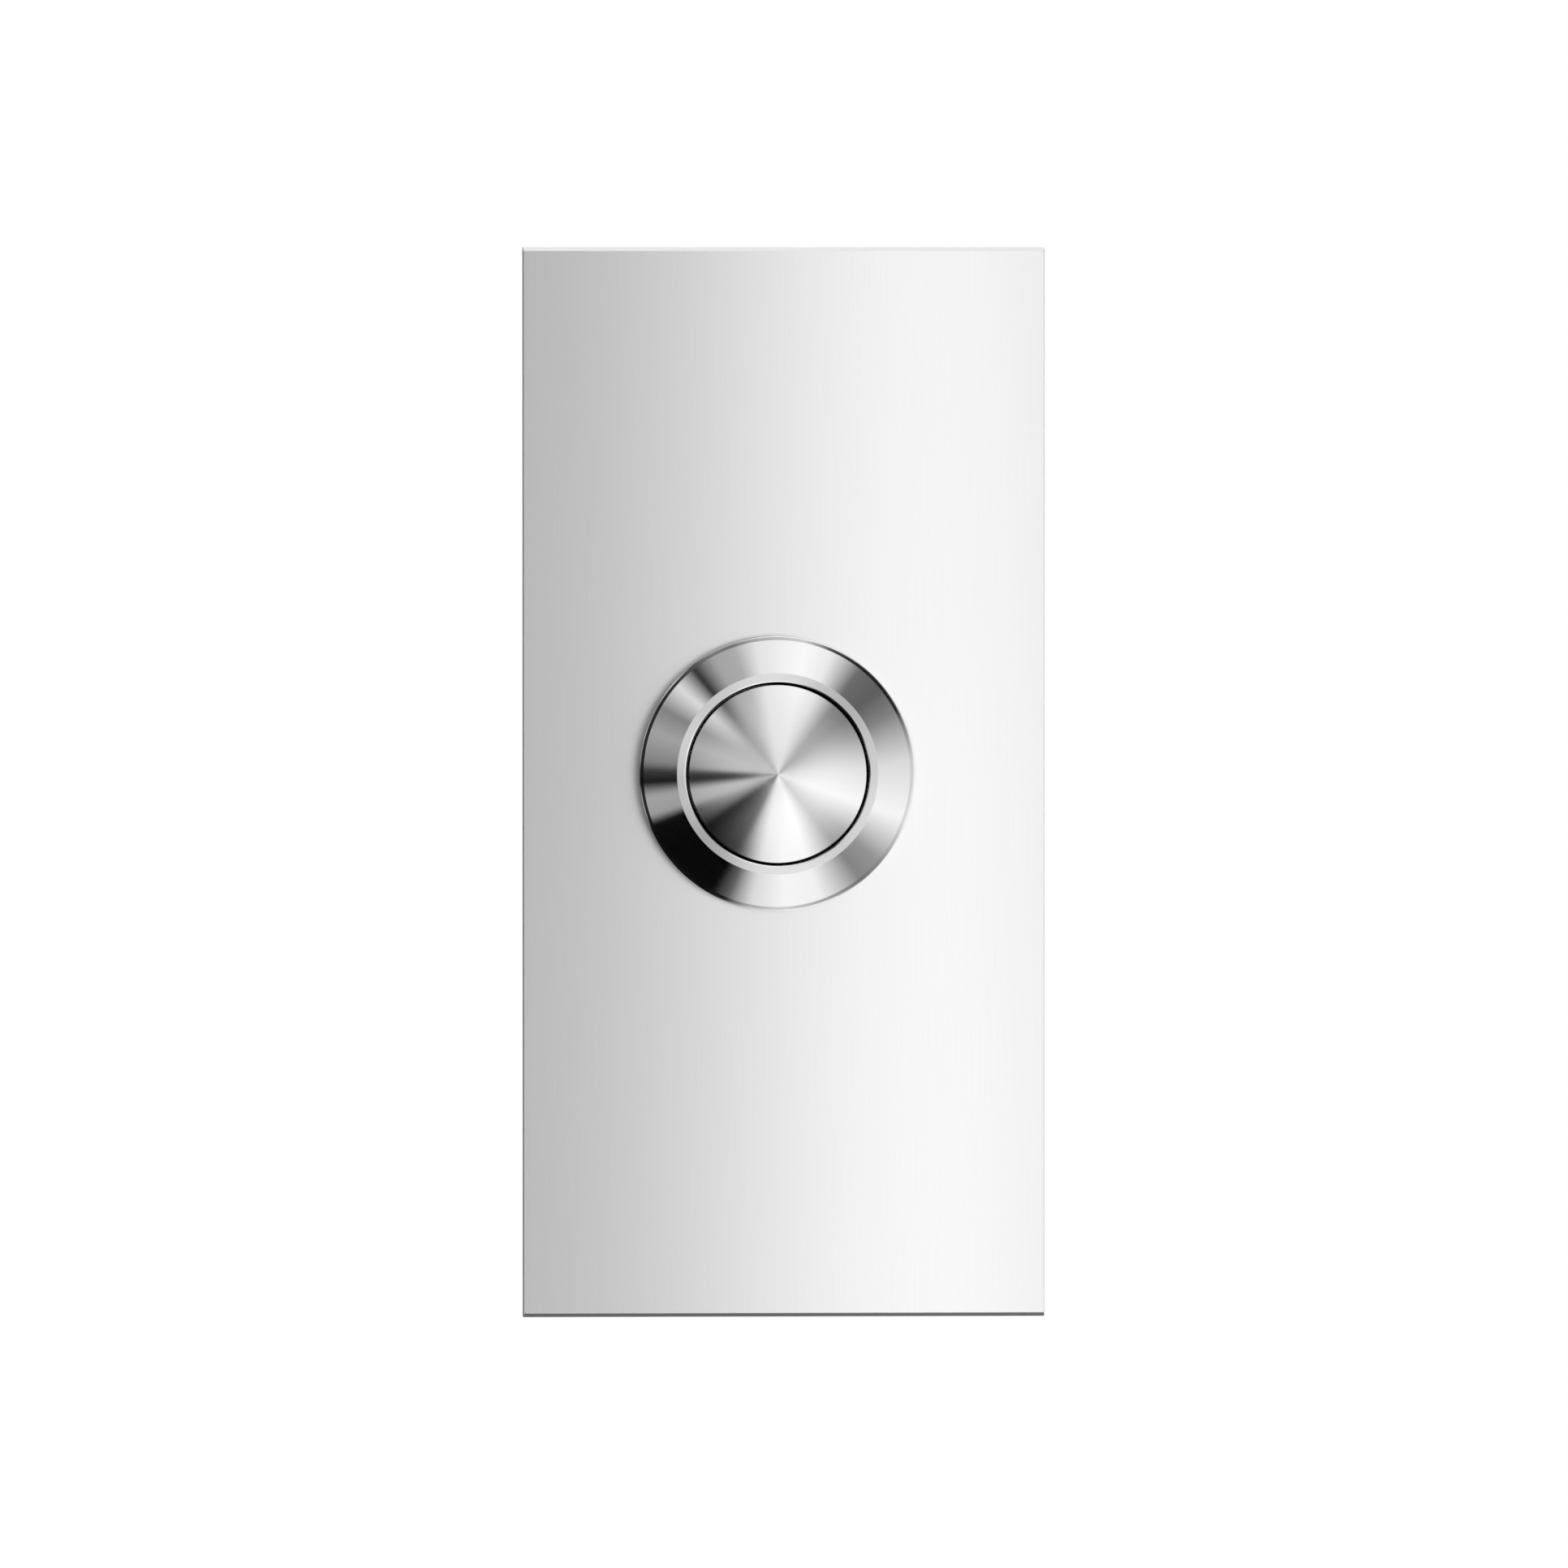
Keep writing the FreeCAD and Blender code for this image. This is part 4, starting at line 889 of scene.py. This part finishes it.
class DOORBELL_OT_studio(bpy.types.Operator):
    """Camera, soft lamp, light tent, side card, white room and pale floor"""
    bl_idname = "doorbell.studio"
    bl_label = "Studio"

    def execute(self, context):
        context.scene.view_settings.view_transform = "Standard"
        self.add_camera(context.scene)
        key = area_lamp("key", 0.5, 0.5, studio().key_power, (0.55, -0.6, 0.75))
        key.rotation_euler = (-key.location).to_track_quat("-Z", "Y").to_euler()
        key.visible_glossy = False
        self.add_tent()
        self.add_side_card()
        self.add_floor()
        self.add_room(context.scene)
        return {"FINISHED"}

    def add_camera(self, scene):
        """The camera looks back along its own direction from the plate's middle, less a hair below it."""
        low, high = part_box("face_plate")
        aim = Vector(((low.x + high.x) / 2, low.y, (low.z + high.z) / 2 - 0.13 * MM))
        side, above = studio().from_left, studio().from_above
        back = Vector((-math.sin(side) * math.cos(above), -math.cos(side) * math.cos(above), math.sin(above)))
        lens = bpy.data.cameras.new("camera")
        lens.sensor_width = 36.0
        lens.lens = lens.sensor_width * studio().camera_distance / studio().view_width
        lens.clip_start, lens.clip_end = 0.05, 50.0
        camera = bpy.data.objects.new("camera", lens)
        camera.location = aim + back * studio().camera_distance
        camera.rotation_euler = back.to_track_quat("Z", "Y").to_euler()
        scene.collection.objects.link(camera)
        scene.camera = camera

    def add_tent(self):
        """Part of a sphere round the button's face: the first parameter is the angle off the button's axis and the
        second the direction round it.  Each point keeps its brightness, which is counted from the pole, the
        place where a flat face shows the lens."""
        around = np.radians(np.arange(0, 361, 1.5))
        off = np.radians(np.concatenate([np.arange(0, 20, 2), np.arange(20, 106, 5)]))[:, None]
        grid = TENT_RADIUS * np.stack([np.sin(off) * np.cos(around), -np.cos(off) * np.ones_like(around),
                                       np.sin(off) * np.sin(around)], -1)
        tent = add_mesh("light_tent", [grid])
        points = np.empty(3 * len(tent.data.vertices))
        tent.data.vertices.foreach_get("co", points)
        points = points.reshape(-1, 3) / (TENT_RADIUS * MM)
        pole = np.array([math.sin(studio().from_left), -1, -math.sin(studio().from_above)])
        pole /= np.linalg.norm(pole)
        upward = np.cross(pole, [1, 0, 0])
        upward /= np.linalg.norm(upward)
        sideways = np.cross(upward, pole)
        glow = tent.data.attributes.new("glow", "FLOAT", "POINT")
        glow.data.foreach_set("value", tent_brightness(
            np.degrees(np.arctan2(points @ upward, points @ sideways)),
            np.degrees(np.arccos(np.clip(points @ pole, -1, 1)))))
        material = bpy.data.materials.new("light_tent_cloth")
        material.cycles.emission_sampling = "NONE"
        tree = bare_tree(material)
        level = add(tree, "ShaderNodeAttribute", {"attribute_name": "glow"})
        light = add(tree, "ShaderNodeEmission", {}, {"Strength": level.outputs["Fac"]})
        add(tree, "ShaderNodeOutputMaterial", {}, {"Surface": light.outputs[0]})
        tent.data.materials.append(material)
        for ray in ("camera", "diffuse", "transmission", "volume_scatter", "shadow"):
            setattr(tent, "visible_" + ray, False)

    def add_side_card(self):
        """A tall card just off the lens to the right, which grades the plate from left to right.  It lights the
        plate alone; its power is pi times its area times its brightness."""
        wide, high, away = 28 * MM, 240 * MM, 30 * MM
        card = area_lamp("side_card", wide, high, math.pi * wide * high * studio().side_card, (wide / 2, -away, 0))
        card.rotation_euler = (math.pi / 2, 0, 0)
        card.visible_camera = False
        lit = bpy.data.collections.new("lit_by_side_card")
        lit.objects.link(bpy.data.objects["brushed_plate"])
        card.light_linking.receiver_collection = lit

    def add_floor(self):
        """A wide flat floor below the part; it is white to the eye and keeps the part's shadow."""
        across = np.linspace(-FLOOR_REACH, FLOOR_REACH, 7)
        x, y = np.meshgrid(across, across)
        floor = add_mesh("floor", [np.stack([x, y, np.full_like(x, FLOOR_DEPTH)], -1)])
        floor.data.flip_normals()
        material = bpy.data.materials.new("white_paper_floor")
        tree = bare_tree(material)
        matt = add(tree, "ShaderNodeBsdfDiffuse", {"Color": hex_colour("#FAFAFA")})
        path = add(tree, "ShaderNodeLightPath")
        lift = add(tree, "ShaderNodeMath", {"operation": "MULTIPLY", 1: 0.34}, {0: path.outputs["Is Camera Ray"]})
        glow = add(tree, "ShaderNodeEmission", {}, {"Strength": lift.outputs[0]})
        both = add(tree, "ShaderNodeAddShader", {}, {0: matt.outputs[0], 1: glow.outputs[0]})
        add(tree, "ShaderNodeOutputMaterial", {}, {"Surface": both.outputs[0]})
        floor.data.materials.append(material)

    def add_room(self, scene):
        """White to the eye, softer on matt surfaces, and in the metal a grey that falls from the ceiling to the
        floor, so that round pieces at the back keep their shape."""
        scene.world = bpy.data.worlds.new("white_room")
        tree = bare_tree(scene.world)
        path = add(tree, "ShaderNodeLightPath")
        place = add(tree, "ShaderNodeTexCoord")
        split = add(tree, "ShaderNodeSeparateXYZ", {}, {"Vector": place.outputs["Generated"]})
        height = add(tree, "ShaderNodeMath", {"operation": "MULTIPLY_ADD", 1: 0.35},
                     {0: split.outputs["X"], 2: split.outputs["Z"]})
        mirrored = add(tree, "ShaderNodeMapRange",
                       {"From Min": -0.8, "From Max": 0.6, "To Min": 0.15, "To Max": 1.15},
                       {"Value": height.outputs[0]})
        unseen = add(tree, "ShaderNodeMix", {"data_type": "FLOAT", 2: studio().ambient},
                     {0: path.outputs["Is Glossy Ray"], 3: mirrored.outputs["Result"]})
        seen = add(tree, "ShaderNodeMath", {"operation": "MAXIMUM"},
                   {0: path.outputs["Is Camera Ray"], 1: path.outputs["Is Transmission Ray"]})
        level = add(tree, "ShaderNodeMix", {"data_type": "FLOAT", 3: 1.0},
                    {0: seen.outputs[0], 2: unseen.outputs[0]})
        room = add(tree, "ShaderNodeBackground", {"Color": hex_colour("#FFFFFF")}, {"Strength": level.outputs[0]})
        add(tree, "ShaderNodeOutputWorld", {}, {"Surface": room.outputs[0]})


class DOORBELL_PT_panel(bpy.types.Panel):
    """Sizes, colours and studio settings, and a button for each piece"""
    bl_idname = "DOORBELL_PT_panel"
    bl_label = "Doorbell push button"
    bl_space_type = "VIEW_3D"
    bl_region_type = "UI"
    bl_category = "Doorbell"

    def draw(self, context):
        for group in (sizes(), colours(), studio()):
            box = self.layout.box()
            for name in group.__annotations__:
                box.prop(group, name)
        for operator in OPERATORS:
            self.layout.operator(operator.bl_idname)


OPERATORS = (
    DOORBELL_OT_face_plate, DOORBELL_OT_studs, DOORBELL_OT_sealing_sheet, DOORBELL_OT_housing,
    DOORBELL_OT_seals, DOORBELL_OT_push_cap, DOORBELL_OT_springs, DOORBELL_OT_contacts,
    DOORBELL_OT_lock_nut, DOORBELL_OT_small_parts, DOORBELL_OT_studio,
)
GROUPS = (
    ("doorbell_sizes", DoorbellSizes), ("doorbell_colours", DoorbellColours), ("doorbell_studio", DoorbellStudio),
)


def register():
    for name, group in GROUPS:
        bpy.utils.register_class(group)
        setattr(bpy.types.Scene, name, bpy.props.PointerProperty(type=group))
    for kind in OPERATORS + (DOORBELL_PT_panel,):
        bpy.utils.register_class(kind)


def unregister():
    for kind in reversed(OPERATORS + (DOORBELL_PT_panel,)):
        bpy.utils.unregister_class(kind)
    for name, group in reversed(GROUPS):
        delattr(bpy.types.Scene, name)
        bpy.utils.unregister_class(group)


def main():
    """Builds everything in order."""
    register()
    for operator in OPERATORS:
        group, action = operator.bl_idname.split(".")
        getattr(getattr(bpy.ops, group), action)()


if __name__ == "__main__":
    main()
